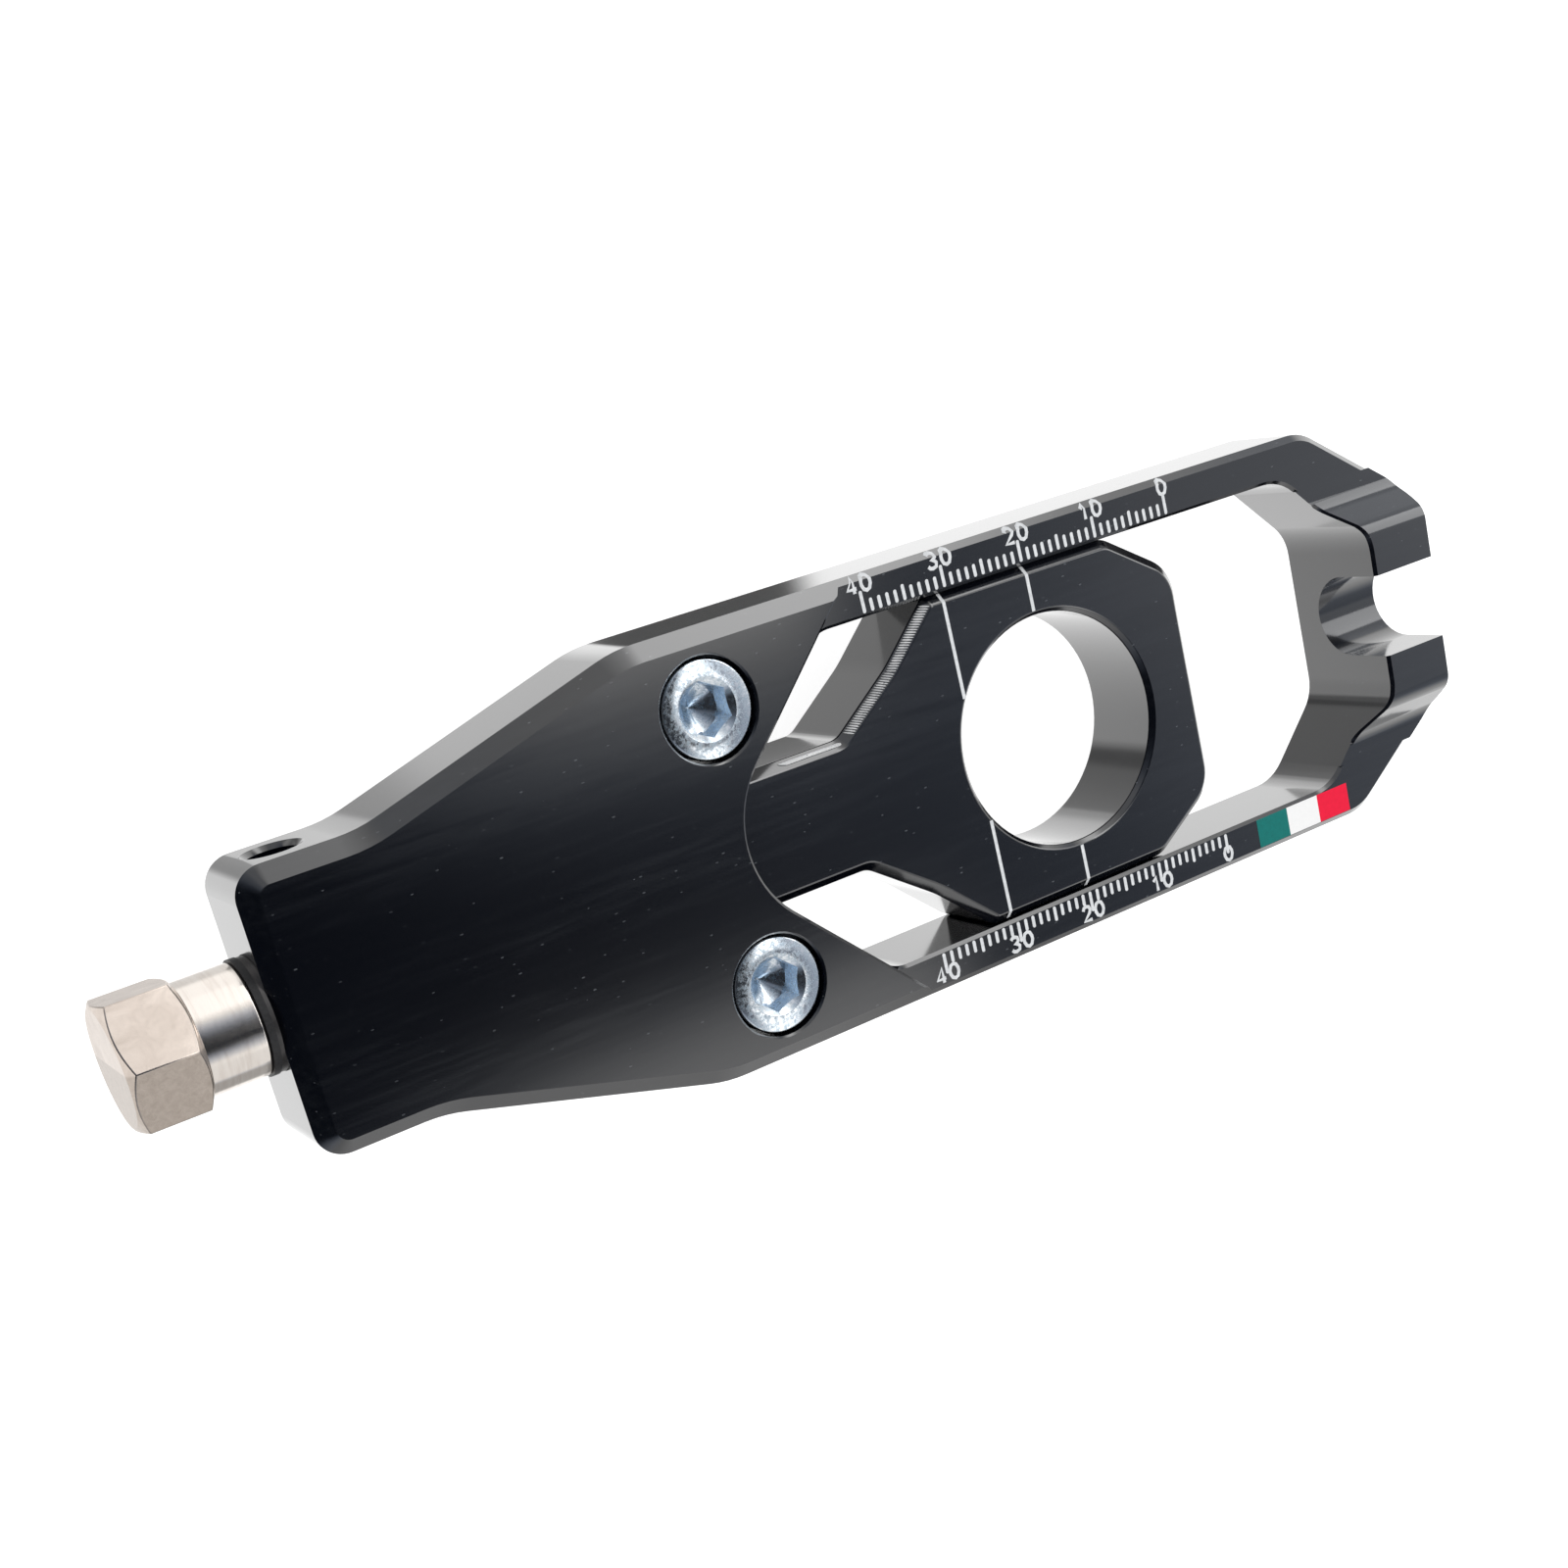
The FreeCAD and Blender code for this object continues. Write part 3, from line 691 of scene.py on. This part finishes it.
def cutter_ribs_tree():
    """Slanted ridges that a cutter leaves along a bevel, laid along X from 0."""
    tree, given = new_geometry_tree("cutter_ribs", "Count", (
        "Pitch", "Length", "Width", "Slant"))
    line = add_node(tree, "GeometryNodeMeshLine", {
        "Count": given["Count"], "Offset": vector(tree, X=given["Pitch"])})
    size = vector(tree, X=given["Width"], Y=given["Length"], Z=times(tree, given["Width"], 0.6))
    rib = add_node(tree, "GeometryNodeMeshUVSphere", None, {
        "Segments": 8, "Rings": 6, "Radius": 0.5})
    shaped = add_node(tree, "GeometryNodeTransform", {"Geometry": rib, "Scale": size})
    laid = add_node(tree, "GeometryNodeInstanceOnPoints", {
        "Points": line, "Instance": shaped, "Rotation": vector(tree, Z=given["Slant"])})
    return finish_tree(tree, given, laid)


def evaluated_mesh(holder):
    """Plain mesh of an object as its modifiers leave it; the object is removed."""
    bpy.context.scene.collection.objects.link(holder)
    graph = bpy.context.evaluated_depsgraph_get()
    graph.update()
    mesh = bpy.data.meshes.new_from_object(holder.evaluated_get(graph), depsgraph=graph)
    bpy.data.objects.remove(holder)
    return mesh


def grown_by(tree, values):
    """Run a geometry tree with these named inputs and return its plain mesh."""
    seed = bpy.data.meshes.new("seed")
    holder = bpy.data.objects.new("seed", seed)
    modifier = holder.modifiers.new("grow", "NODES")
    modifier.node_group = tree
    sockets = {item.name: item.identifier for item in tree.interface.items_tree
               if item.item_type == "SOCKET" and item.in_out == "INPUT"}
    for label, value in values.items():
        modifier[sockets[label]] = value
    mesh = evaluated_mesh(holder)
    bpy.data.meshes.remove(seed)
    return mesh


# Mesh helpers


def piece(name, mesh, body, material, sharp=30.0):
    """Finished mesh as an object that rides on a body."""
    mesh.name = name
    mesh.polygons.foreach_set("use_smooth", [True] * len(mesh.polygons))
    mesh.set_sharp_from_angle(angle=math.radians(sharp))
    mesh.materials.clear()
    mesh.materials.append(material)
    made = bpy.data.objects.new(name, mesh)
    bpy.context.scene.collection.objects.link(made)
    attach(made, body)
    return made


def editable(*meshes):
    """One editable mesh that holds copies of these."""
    edit = bmesh.new()
    for mesh in meshes:
        edit.from_mesh(mesh)
    return edit


def mesh_from(edit):
    """Plain mesh from an editable one, which is freed."""
    mesh = bpy.data.meshes.new("piece")
    edit.to_mesh(mesh)
    edit.free()
    return mesh


def moved_to(x, y, z):
    """Move by millimetres."""
    return Matrix.Translation(Vector((x, y, z)) * MM)


def everything(edit):
    """All points, edges and faces of an editable mesh."""
    return edit.verts[:] + edit.edges[:] + edit.faces[:]


def merged_copy(node):
    """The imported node's own shape with its doubled points merged and flat faces joined."""
    edit = editable(node.data)
    bmesh.ops.remove_doubles(edit, verts=edit.verts, dist=WELD * MM)
    bmesh.ops.dissolve_limit(
        edit, angle_limit=math.radians(FLAT_DEGREES), verts=edit.verts, edges=edit.edges)
    return mesh_from(edit)


def rim_chamfered(mesh):
    """Chamfer the window's rim where the hook's raised faces run into it."""
    edit = editable(mesh)
    rim = []
    for edge in edit.edges:
        wall, face = sorted(edge.link_faces, key=lambda side: side.normal.z)
        middle = (edge.verts[0].co + edge.verts[1].co) / 2 / MM
        raised = middle.x > WINDOW_RIM_START_X and middle.z > RAIL_Z + WINDOW_RIM_RISE
        upright_wall = wall.normal.x < -0.3 and abs(wall.normal.z) < 0.1
        if raised and upright_wall and face.normal.z > 0.5:
            rim.append(edge)
    bmesh.ops.bevel(
        edit, geom=rim, offset=WINDOW_RIM_CHAMFER * MM, segments=1, profile=0.5,
        affect="EDGES", clamp_overlap=False)
    return mesh_from(edit)


def edge_broken(made, width, angle=40.0):
    """Small machined edge break that catches the light."""
    modifier = made.modifiers.new("edge_break", "BEVEL")
    modifier.width = width * MM
    modifier.segments = 2
    modifier.limit_method = "ANGLE"
    modifier.angle_limit = math.radians(angle)
    modifier.use_clamp_overlap = True
    levelled = made.modifiers.new("level_faces", "WEIGHTED_NORMAL")
    levelled.keep_sharp = True


def draped(mesh):
    """Lay a flat marking, drawn round z = 0, over the rail's face and its outer bevel."""
    edit = editable(mesh)
    crease_y = RAIL_OUTER_Y - RAIL_BEVEL
    for side in (1, -1):
        bmesh.ops.bisect_plane(
            edit, geom=everything(edit), plane_co=(0, side * crease_y * MM, 0),
            plane_no=(0, 1, 0))
    for vert in edit.verts:
        over_bevel = max(0.0, abs(vert.co.y / MM) - crease_y)
        vert.co.z += (RAIL_Z - over_bevel) * MM
    return mesh_from(edit)


def band_prism(points, half_width, bottom, top):
    """Thin strip along (y, z) points, across X by its width, from below to above the line."""
    edit = bmesh.new()
    rings = []
    for y, z in points:
        ring = [edit.verts.new(Vector(corner) * MM) for corner in (
            (-half_width, y, z + bottom), (half_width, y, z + bottom),
            (half_width, y, z + top), (-half_width, y, z + top))]
        rings.append(ring)
    for first, second in zip(rings, rings[1:]):
        for index in range(4):
            after = (index + 1) % 4
            edit.faces.new((first[index], first[after], second[after], second[index]))
    edit.faces.new(rings[0])
    edit.faces.new(rings[-1])
    bmesh.ops.recalc_face_normals(edit, faces=edit.faces)
    return mesh_from(edit)


# The object's pieces


def finish_frame_and_slider(nodes, materials):
    """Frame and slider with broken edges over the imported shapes."""
    frame = piece("frame_milled", rim_chamfered(merged_copy(nodes["adjuster_frame"])), "frame",
                  materials["frame"], sharp=28.0)
    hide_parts("adjuster_frame")
    edge_broken(frame, FRAME_EDGE)
    slider = piece("slider_milled", merged_copy(nodes["axle_slider"]), "slider",
                   materials["slider"], sharp=28.0)
    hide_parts("axle_slider")
    edge_broken(slider, SLIDER_EDGE)


def scale_marks(trees, materials):
    """Both rows of millimetre marks, on the rails' faces."""
    rows = []
    for side in (1, -1):
        row = grown_by(trees["marks"], {
            "Count": SCALE_MARKS, "Pitch": SCALE_PITCH * MM, "Width": MARK_WIDTH * MM,
            "Short": MARK_SHORT * MM, "Five": MARK_FIVE * MM, "Ten": MARK_TEN * MM,
            "Proud": 2 * MARK_PROUD * MM, "Side": float(side),
            "Material": materials["mark_fill"]})
        row.transform(moved_to(SCALE_ZERO_X, side * MARK_INNER_Y, RAIL_Z))
        edit = editable(row)
        bmesh.ops.recalc_face_normals(edit, faces=edit.faces)
        rows.append(mesh_from(edit))
    piece("scale_marks", mesh_from(editable(*rows)), "frame",
          materials["mark_fill"])


# Strokes of the digits as points in a box of 1 by 1, and whether the line closes
DIGIT_STROKES = {
    "0": ([(0.5, 1.0), (0.82, 0.9), (1.0, 0.62), (1.0, 0.38), (0.82, 0.1), (0.5, 0.0),
           (0.18, 0.1), (0.0, 0.38), (0.0, 0.62), (0.18, 0.9)], True),
    "1": ([(0.2, 0.72), (0.62, 1.0), (0.62, 0.0)], False),
    "2": ([(0.05, 0.74), (0.2, 0.94), (0.5, 1.0), (0.82, 0.93), (0.95, 0.72), (0.8, 0.5),
           (0.02, 0.0), (1.0, 0.0)], False),
    "3": ([(0.06, 0.86), (0.25, 0.98), (0.55, 1.0), (0.86, 0.9), (0.9, 0.68), (0.66, 0.54),
           (0.42, 0.52), (0.72, 0.48), (0.97, 0.32), (0.88, 0.08), (0.5, 0.0), (0.18, 0.04),
           (0.0, 0.18)], False),
    "4": ([(0.72, 0.0), (0.72, 1.0), (0.0, 0.28), (1.0, 0.28)], False),
}


def digit_mesh(digit):
    """One digit as a flattened rounded stroke in its own box, base at the origin."""
    points, cyclic = DIGIT_STROKES[digit]
    curve = bpy.data.curves.new("digit_stroke", "CURVE")
    curve.dimensions = "3D"
    curve.bevel_depth = DIGIT_STROKE / 2 * MM
    curve.bevel_resolution = 2
    curve.use_fill_caps = True
    spline = curve.splines.new("POLY")
    spline.points.add(len(points) - 1)
    for point, (u, v) in zip(spline.points, points):
        point.co = (u * DIGIT_WIDTH * MM, v * DIGIT_HEIGHT * MM, 0.0, 1.0)
    spline.use_cyclic_u = cyclic
    mesh = evaluated_mesh(bpy.data.objects.new("digit_stroke", curve))
    mesh.transform(Matrix.Diagonal((1.0, 1.0, 2 * MARK_PROUD / DIGIT_STROKE, 1.0)))
    return mesh


def scale_digits(materials):
    """0 to 40 at every tenth mark of both rails, laid over the outer bevel."""
    shapes = {digit: digit_mesh(digit) for digit in DIGIT_STROKES}
    placed_digits = []
    for side in (1, -1):
        for value in range(0, SCALE_MARKS, 10):
            text = str(value)
            span = len(text) * DIGIT_WIDTH + (len(text) - 1) * DIGIT_GAP
            left = SCALE_ZERO_X - value * SCALE_PITCH - span / 2
            for place, digit in enumerate(text):
                copy = shapes[digit].copy()
                x = left + place * (DIGIT_WIDTH + DIGIT_GAP)
                copy.transform(moved_to(x, DIGIT_BASE_Y[side], 0.0))
                placed_digits.append(copy)
    flat = mesh_from(editable(*placed_digits))
    piece("scale_digits", draped(flat), "frame", materials["mark_fill"],
          sharp=50.0)


def index_lines(materials):
    """Fine filled lines across the slider, broken by the axle bore."""
    edge = SLIDER_HALF_WIDTH - SLIDER_BEVEL
    strips = []
    for x in INDEX_LINES_X:
        bore_y = math.sqrt(AXLE_MOUTH_R ** 2 - x ** 2) + INDEX_BORE_MARGIN
        for side in (1, -1):
            strip = band_prism([
                (side * bore_y, RAIL_Z),
                (side * edge, RAIL_Z),
                (side * (SLIDER_HALF_WIDTH - INDEX_SIDE_MARGIN),
                 RAIL_Z - SLIDER_BEVEL + INDEX_SIDE_MARGIN),
            ], INDEX_LINE_WIDTH / 2, -INDEX_LINE_SUNK, MARK_PROUD)
            strip.transform(moved_to(x, 0, 0))
            strips.append(strip)
    piece("index_lines", mesh_from(editable(*strips)), "slider",
          materials["mark_fill"])


def rail_stripe(materials):
    """Green, white and red fields printed on the lower rail."""
    for index, colour in enumerate(("green", "white", "red")):
        left = STRIPE_EDGES_X[index]
        right = STRIPE_EDGES_X[index + 1]
        field = band_prism([(-STRIPE_INNER_Y, RAIL_Z), (-STRIPE_OUTER_Y, RAIL_Z)],
                           (right - left) / 2, -STRIPE_SUNK, STRIPE_PROUD)
        field.transform(moved_to((left + right) / 2, 0, 0))
        piece("stripe_" + colour, field, "frame", materials[colour])


def threaded(trees, length, pitch, crest, root, sides, material):
    """Closed threaded rod round Z, from 0 up."""
    edit = editable(grown_by(trees["thread"], {
        "Length": length * MM, "Pitch": pitch * MM, "Crest Radius": crest * MM,
        "Root Radius": root * MM, "Sides": sides, "Material": material}))
    bmesh.ops.holes_fill(edit, edges=[e for e in edit.edges if e.is_boundary], sides=0)
    bmesh.ops.dissolve_degenerate(edit, edges=edit.edges, dist=SLIVER * MM)
    bmesh.ops.recalc_face_normals(edit, faces=edit.faces)
    return mesh_from(edit)


def adjusting_bolt(nodes, trees, materials):
    """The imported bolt's head, collar and journal, with a real thread in place of its shank."""
    edit = editable(merged_copy(nodes["adjusting_bolt"]))
    cut = bmesh.ops.bisect_plane(
        edit, geom=everything(edit), plane_co=(BOLT_THREAD_START_X * MM, 0, 0),
        plane_no=(1, 0, 0), clear_outer=True)
    rim = [e for e in cut["geom_cut"] if isinstance(e, bmesh.types.BMEdge)]
    bmesh.ops.holes_fill(edit, edges=rim, sides=0)
    body = piece("bolt_head_and_journal", mesh_from(edit), "bolt",
                 materials["bolt"], sharp=28.0)
    edge_broken(body, BOLT_EDGE, angle=25.0)
    thread = threaded(trees, BOLT_TIP_X - BOLT_THREAD_START_X, BOLT_PITCH, BOLT_R, BOLT_CORE_R,
                      BOLT_THREAD_SIDES, materials["bolt"])
    to_x_axis = Matrix.Rotation(math.radians(90.0), 4, "Y")
    thread.transform(moved_to(BOLT_THREAD_START_X, 0, 0) @ to_x_axis)
    shank = piece("bolt_thread", thread, "bolt", materials["bolt"])
    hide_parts("adjusting_bolt")
    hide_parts("adjusting_bolt")


def socket_wall_radius(angle):
    """Distance from the screw's axis to the hexagon socket's wall."""
    flat = math.radians(60.0)
    offset = (angle + flat / 2) % flat - flat / 2
    return SOCKET_ACROSS_FLATS / 2 / math.cos(math.radians(30.0) - abs(offset))


def screw_mesh():
    """Socket head screw round Z: rounded rim, coned socket mouth, grip down to the thread."""
    top = SCREW_HEAD_TOP_Z
    mouth_z = top - SOCKET_MOUTH_DROP
    floor_z = top - SOCKET_DEPTH
    slope = math.tan(math.radians(SOCKET_CONE_DEGREES))

    def fixed(radius, z):
        return lambda angle: (radius, z)

    def mouth(angle):
        wall = socket_wall_radius(angle)
        return wall, mouth_z - (SOCKET_MOUTH_R - wall) * slope

    def wall_foot(angle):
        return socket_wall_radius(angle), floor_z

    foot, shoulder = SCREW_GRIP_TAPER
    rings = [
        fixed(SCREW_GRIP_FOOT_R, SCREW_GRIP_END_Z + foot),
        fixed(SCREW_GRIP_R, SCREW_GRIP_END_Z + shoulder),
        fixed(SCREW_GRIP_R, SCREW_SEAT_Z),
        fixed(SCREW_HEAD_R - SCREW_SEAT_CHAMFER, SCREW_SEAT_Z),
        fixed(SCREW_HEAD_R, SCREW_SEAT_Z + SCREW_SEAT_CHAMFER),
    ]
    rings += [fixed(SCREW_HEAD_R - inset, top - drop) for inset, drop in SCREW_HEAD_ROUND]
    rings += [
        fixed(SOCKET_MOUTH_R + SOCKET_MOUTH_EDGE, top),
        fixed(SOCKET_MOUTH_R, mouth_z),
        mouth,
        wall_foot,
        fixed(DRILL_R, floor_z - SOCKET_MOUTH_DROP),
        fixed(DRILL_TIP_R, floor_z - DRILL_DEPTH),
    ]
    edit = bmesh.new()
    loops = []
    for ring in rings:
        loop = []
        for step in range(SCREW_SIDES):
            angle = 2 * math.pi * step / SCREW_SIDES
            radius, z = ring(angle)
            point = Vector((radius * math.cos(angle), radius * math.sin(angle), z)) * MM
            loop.append(edit.verts.new(point))
        loops.append(loop)
    for lower, upper in zip(loops, loops[1:]):
        for step in range(SCREW_SIDES):
            after = (step + 1) % SCREW_SIDES
            edit.faces.new((lower[step], lower[after], upper[after], upper[step]))
    edit.faces.new(loops[0])
    edit.faces.new(loops[-1])
    bmesh.ops.recalc_face_normals(edit, faces=edit.faces)
    return mesh_from(edit)


def in_socket(spot):
    """Whether a point in millimetres lies on the walls of a screw's socket."""
    reach = math.hypot(spot.x - SCREW_X, abs(spot.y) - SCREW_Y)
    depth = SCREW_HEAD_TOP_Z - spot.z
    return reach < SOCKET_MOUTH_R and SOCKET_WALL_TOP < depth < SOCKET_DEPTH


def fixing_screws(trees, materials):
    """Both fixing screws with threads behind the plate."""
    thread = threaded(trees, SCREW_GRIP_END_Z - SCREW_TIP_Z, SCREW_PITCH, SCREW_THREAD_R,
                      SCREW_CORE_R, SCREW_THREAD_SIDES, materials["zinc"])
    thread.transform(moved_to(0, 0, SCREW_TIP_Z))
    parts = []
    for side, degrees in SCREW_CLOCKING.items():
        for shape in (screw_mesh(), thread):
            copy = shape.copy()
            copy.transform(Matrix.Rotation(math.radians(degrees), 4, "Z"))
            copy.transform(moved_to(SCREW_X, side * SCREW_Y, 0))
            parts.append(copy)
    screws = piece("screws_plated", mesh_from(editable(*parts)), "frame",
                   materials["zinc"], sharp=24.0)
    # The socket walls take the bluer, lit-looking copy of the plating: painted light
    screws.data.materials.append(materials["socket"])
    for polygon in screws.data.polygons:
        if in_socket(polygon.center / MM):
            polygon.material_index = 1
    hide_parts("fixing_screws")


def cutter_ribs(trees, materials):
    """Ribbed cutter marks on the slider's upper flank bevel, near white as a painted highlight.
    """
    runs = []
    for first, last, slant in RIB_RUNS:
        start = Vector((first[0], first[1], RIB_Z)) * MM
        run = Vector((last[0], last[1], RIB_Z)) * MM - start
        count = round(run.length / (RIB_PITCH * MM)) + 1
        ribs = grown_by(trees["ribs"], {
            "Count": count, "Pitch": run.length / (count - 1), "Length": RIB_LENGTH * MM,
            "Width": RIB_WIDTH * MM, "Slant": math.radians(slant),
            "Material": materials["ridge_highlight"]})
        x_axis = run.normalized()
        outward = Vector((-x_axis.y, x_axis.x, 0))
        z_axis = (outward + Vector((0, 0, 1))).normalized()
        y_axis = z_axis.cross(x_axis)
        turn = Matrix((x_axis, y_axis, z_axis)).transposed().to_4x4()
        ribs.transform(Matrix.Translation(start) @ turn)
        runs.append(ribs)
    piece("flank_ribs", mesh_from(editable(*runs)), "slider",
          materials["ridge_highlight"], sharp=60.0)


def finish_small_nodes(nodes, materials):
    """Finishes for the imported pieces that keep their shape."""
    for name, key in (("thrust_ring", "ring"), ("thrust_washer", "washer"),
                      ("retaining_clip", "clip")):
        for slot in nodes[name].material_slots:
            slot.material = materials[key]


# Studio


def add_camera():
    """Camera at the photograph's place; the columns are its right, up and backward axes."""
    data = bpy.data.cameras.new("camera")
    data.sensor_width = 36.0
    data.lens = 50.4995
    data.shift_x = -0.0578128
    data.shift_y = 0.1450419
    data.clip_start = 0.005
    data.clip_end = 20.0
    data.dof.use_dof = False
    place = Vector((-0.134459867, 0.050347449, 0.197266873))
    right = Vector((0.818778, -0.224296, 0.528483))
    up = Vector((0.352252, 0.923158, -0.153942))
    back = Vector((-0.453345, 0.312203, 0.83487))
    turn = Matrix((right, up, back)).transposed().to_4x4()
    camera = bpy.data.objects.new("camera", data)
    camera.matrix_world = Matrix.Translation(place) @ turn
    bpy.context.scene.collection.objects.link(camera)
    bpy.context.scene.camera = camera


def add_soft_box(name, centre, target, width, depth, radiance, mirrored=False):
    """Rectangular soft box that faces a point; reflections see it only where mirrored."""
    data = bpy.data.lights.new(name, "AREA")
    data.shape = "RECTANGLE"
    data.size = width
    data.size_y = depth
    data.energy = radiance * math.pi * width * depth
    lamp = bpy.data.objects.new(name, data)
    lamp.visible_glossy = mirrored
    lamp.location = centre
    towards = Vector(target) - Vector(centre)
    lamp.rotation_euler = towards.to_track_quat("-Z", "Y").to_euler()
    bpy.context.scene.collection.objects.link(lamp)


def wall_reflection(tree, along, across):
    """What the studio's walls give: a near one, a far one with a band, one past the hook."""
    near_side = times(tree, across, -1.0)
    near_wall = times(tree, rising(tree, near_side, NEAR_WALL_Y, NEAR_WALL_CURVE),
                      NEAR_WALL_LIGHT)
    far_wall = dimmed(tree, rising(tree, across, FAR_WALL_Y, FAR_WALL_CURVE),
                      rising(tree, along, FAR_WALL_PAST_HOOK_X), FAR_WALL_PAST_HOOK_DIM)
    far_light = level(tree, rising(tree, along, FAR_WALL_RISE_X), FAR_WALL_LIGHT)
    far_light = maths(tree, "MULTIPLY_ADD", between(tree, along, FAR_WALL_BAND_X),
                      FAR_WALL_BAND_LIGHT, far_light)
    hook_wall = times(tree, rising(tree, along, HOOK_WALL_X, HOOK_WALL_CURVE), HOOK_WALL_LIGHT)
    hook_wall = maths(tree, "MULTIPLY_ADD", rising(tree, along, HOOK_WALL_MORE_X),
                      HOOK_WALL_MORE_LIGHT, hook_wall)
    hook_light = level(tree, rising(tree, near_side, HOOK_WALL_NEAR_Y), HOOK_WALL_NEAR_LIGHT)
    far_and_hook = maths(tree, "MAXIMUM", times(tree, hook_wall, hook_light),
                         times(tree, far_wall, far_light))
    return maths(tree, "MAXIMUM", far_and_hook, near_wall)


def box_reflection(tree, along, across, up):
    """Two soft boxes overhead that only reflections see."""
    far_box = times(tree, rising(tree, along, FAR_BOX_X),
                    rising(tree, across, FAR_BOX_Y, FAR_BOX_CURVE), FAR_BOX_LIGHT)
    near_edge = maths(tree, "MULTIPLY_ADD", along, NEAR_BOX_SKEW, times(tree, across, -1.0))
    near_box = times(tree, rising(tree, along, NEAR_BOX_X), rising(tree, near_edge, NEAR_BOX_Y),
                     NEAR_BOX_LIGHT)
    overhead = maths(tree, "GREATER_THAN", up, BOXES_LEAST_Z)
    return times(tree, maths(tree, "ADD", far_box, near_box),
                 falling(tree, along, BOXES_END_X), overhead)


def table_reflection(tree, along, across):
    """What walls mirror below the horizon: a white table, dimmer beyond the part, with a gap."""
    slanted = maths(tree, "MULTIPLY_ADD", along, BEYOND_SKEW, across)
    beyond = times(tree, rising(tree, slanted, BEYOND_Y), falling(tree, across, BEYOND_END_Y),
                   falling(tree, along, BEYOND_END_X))
    beyond = dimmed(tree, beyond, rising(tree, along, BEYOND_STEP_X), BEYOND_STEP_DIM)
    table = level(tree, beyond, (TABLE_LIGHT, -BEYOND_DIM))
    corner = times(tree, between(tree, along, CORNER_X), rising(tree, across, CORNER_Y))
    table = dimmed(tree, table, corner, CORNER_DIM)
    near_dip = times(tree, rising(tree, times(tree, across, -1.0), NEAR_DIP_Y),
                     level(tree, rising(tree, along, NEAR_DIP_X), NEAR_DIP_DIM))
    table = dimmed(tree, table, near_dip, 1.0)
    gap = times(tree, between(tree, along, GAP_X), between(tree, across, GAP_Y))
    return dimmed(tree, table, gap, GAP_DIM)


def add_surroundings():
    """White to the camera; reflections see a studio that is dark overhead and bright around."""
    world = bpy.data.worlds.new("studio")
    bpy.context.scene.world = world
    world.use_nodes = True
    tree = world.node_tree
    tree.nodes.clear()
    direction = tree.nodes.new("ShaderNodeTexCoord").outputs["Generated"]
    along, across, up = split(tree, direction)
    room = maths(tree, "ADD", wall_reflection(tree, along, across),
                 box_reflection(tree, along, across, up))
    room = times(tree, room, rising(tree, along, BOLT_END_DARK_X))
    room = maths(tree, "ADD", room, ROOM_LEAST)
    below = falling(tree, up, HORIZON_Z)
    table = table_reflection(tree, along, across)
    room = maths(tree, "MULTIPLY_ADD", maths(tree, "SUBTRACT", table, room), below, room)
    path = tree.nodes.new("ShaderNodeLightPath")
    mirrored = maths(tree, "MAXIMUM", path.outputs["Is Glossy Ray"],
                     path.outputs["Is Transmission Ray"])
    soft = times(tree, inverse(tree, mirrored), SOFT_LIGHT)
    seen = maths(tree, "MULTIPLY_ADD", mirrored, room, soft)
    neutral = maths(tree, "MAXIMUM", rising(tree, room, COOL_BELOW), below)
    tint = colour_mix(tree, neutral, COOL_COLOUR, PLAIN_COLOUR)
    background = add_node(tree, "ShaderNodeBackground", {
        "Color": colour_mix(tree, mirrored, PLAIN_COLOUR, tint),
        "Strength": maths(tree, "MAXIMUM", seen, path.outputs["Is Camera Ray"])})
    add_node(tree, "ShaderNodeOutputWorld", {"Surface": background})


def add_floor():
    """White table that keeps a soft shadow; reflections see the surroundings' table instead."""
    edit = bmesh.new()
    bmesh.ops.create_circle(edit, cap_ends=True, segments=64, radius=FLOOR_R * MM)
    bmesh.ops.translate(edit, verts=edit.verts, vec=(0, 0, FLOOR_Z * MM))
    mesh = mesh_from(edit)
    floor = bpy.data.objects.new("table", mesh)
    floor.visible_glossy = False
    bpy.context.scene.collection.objects.link(floor)
    material, tree, shader = new_material("white_table")
    shader.inputs["Base Color"].default_value = (*FLOOR_GREY, 1.0)
    shader.inputs["Roughness"].default_value = 0.9
    shader.inputs["Specular IOR Level"].default_value = 0.0
    shader.inputs["Emission Color"].default_value = (*PLAIN_COLOUR, 1.0)
    path = tree.nodes.new("ShaderNodeLightPath")
    seen = maths(tree, "MAXIMUM", path.outputs["Is Camera Ray"],
                 path.outputs["Is Transmission Ray"])
    tree.links.new(times(tree, seen, FLOOR_GLOW), shader.inputs["Emission Strength"])
    mesh.materials.append(material)


def light_studio():
    """Surroundings, table and three soft boxes; only the one past the hook is mirrored."""
    add_surroundings()
    add_floor()
    add_soft_box("soft_box_overhead", centre=(0.16, 0.016, 0.406), target=(0.16, 0.016, 0.0),
                 width=0.15, depth=0.15, radiance=1.4)
    add_soft_box("soft_box_front", centre=(0.152, -0.206, 0.406), target=(0.152, -0.206, 0.0),
                 width=0.145, depth=0.148, radiance=0.8)
    add_soft_box("soft_box_hook", centre=(0.318, 0.16, 0.243), target=(0.05, 0.0, 0.0),
                 width=0.2, depth=0.2, radiance=1.5, mirrored=True)
    bpy.context.scene.view_settings.view_transform = "Standard"


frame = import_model()
nodes = frame["nodes"]
materials = make_materials()
trees = {
    "marks": scale_marks_tree(),
    "thread": thread_tree(),
    "ribs": cutter_ribs_tree(),
}
add_camera()
light_studio()
finish_frame_and_slider(nodes, materials)
scale_marks(trees, materials)
scale_digits(materials)
index_lines(materials)
rail_stripe(materials)
adjusting_bolt(nodes, trees, materials)
fixing_screws(trees, materials)
cutter_ribs(trees, materials)
finish_small_nodes(nodes, materials)
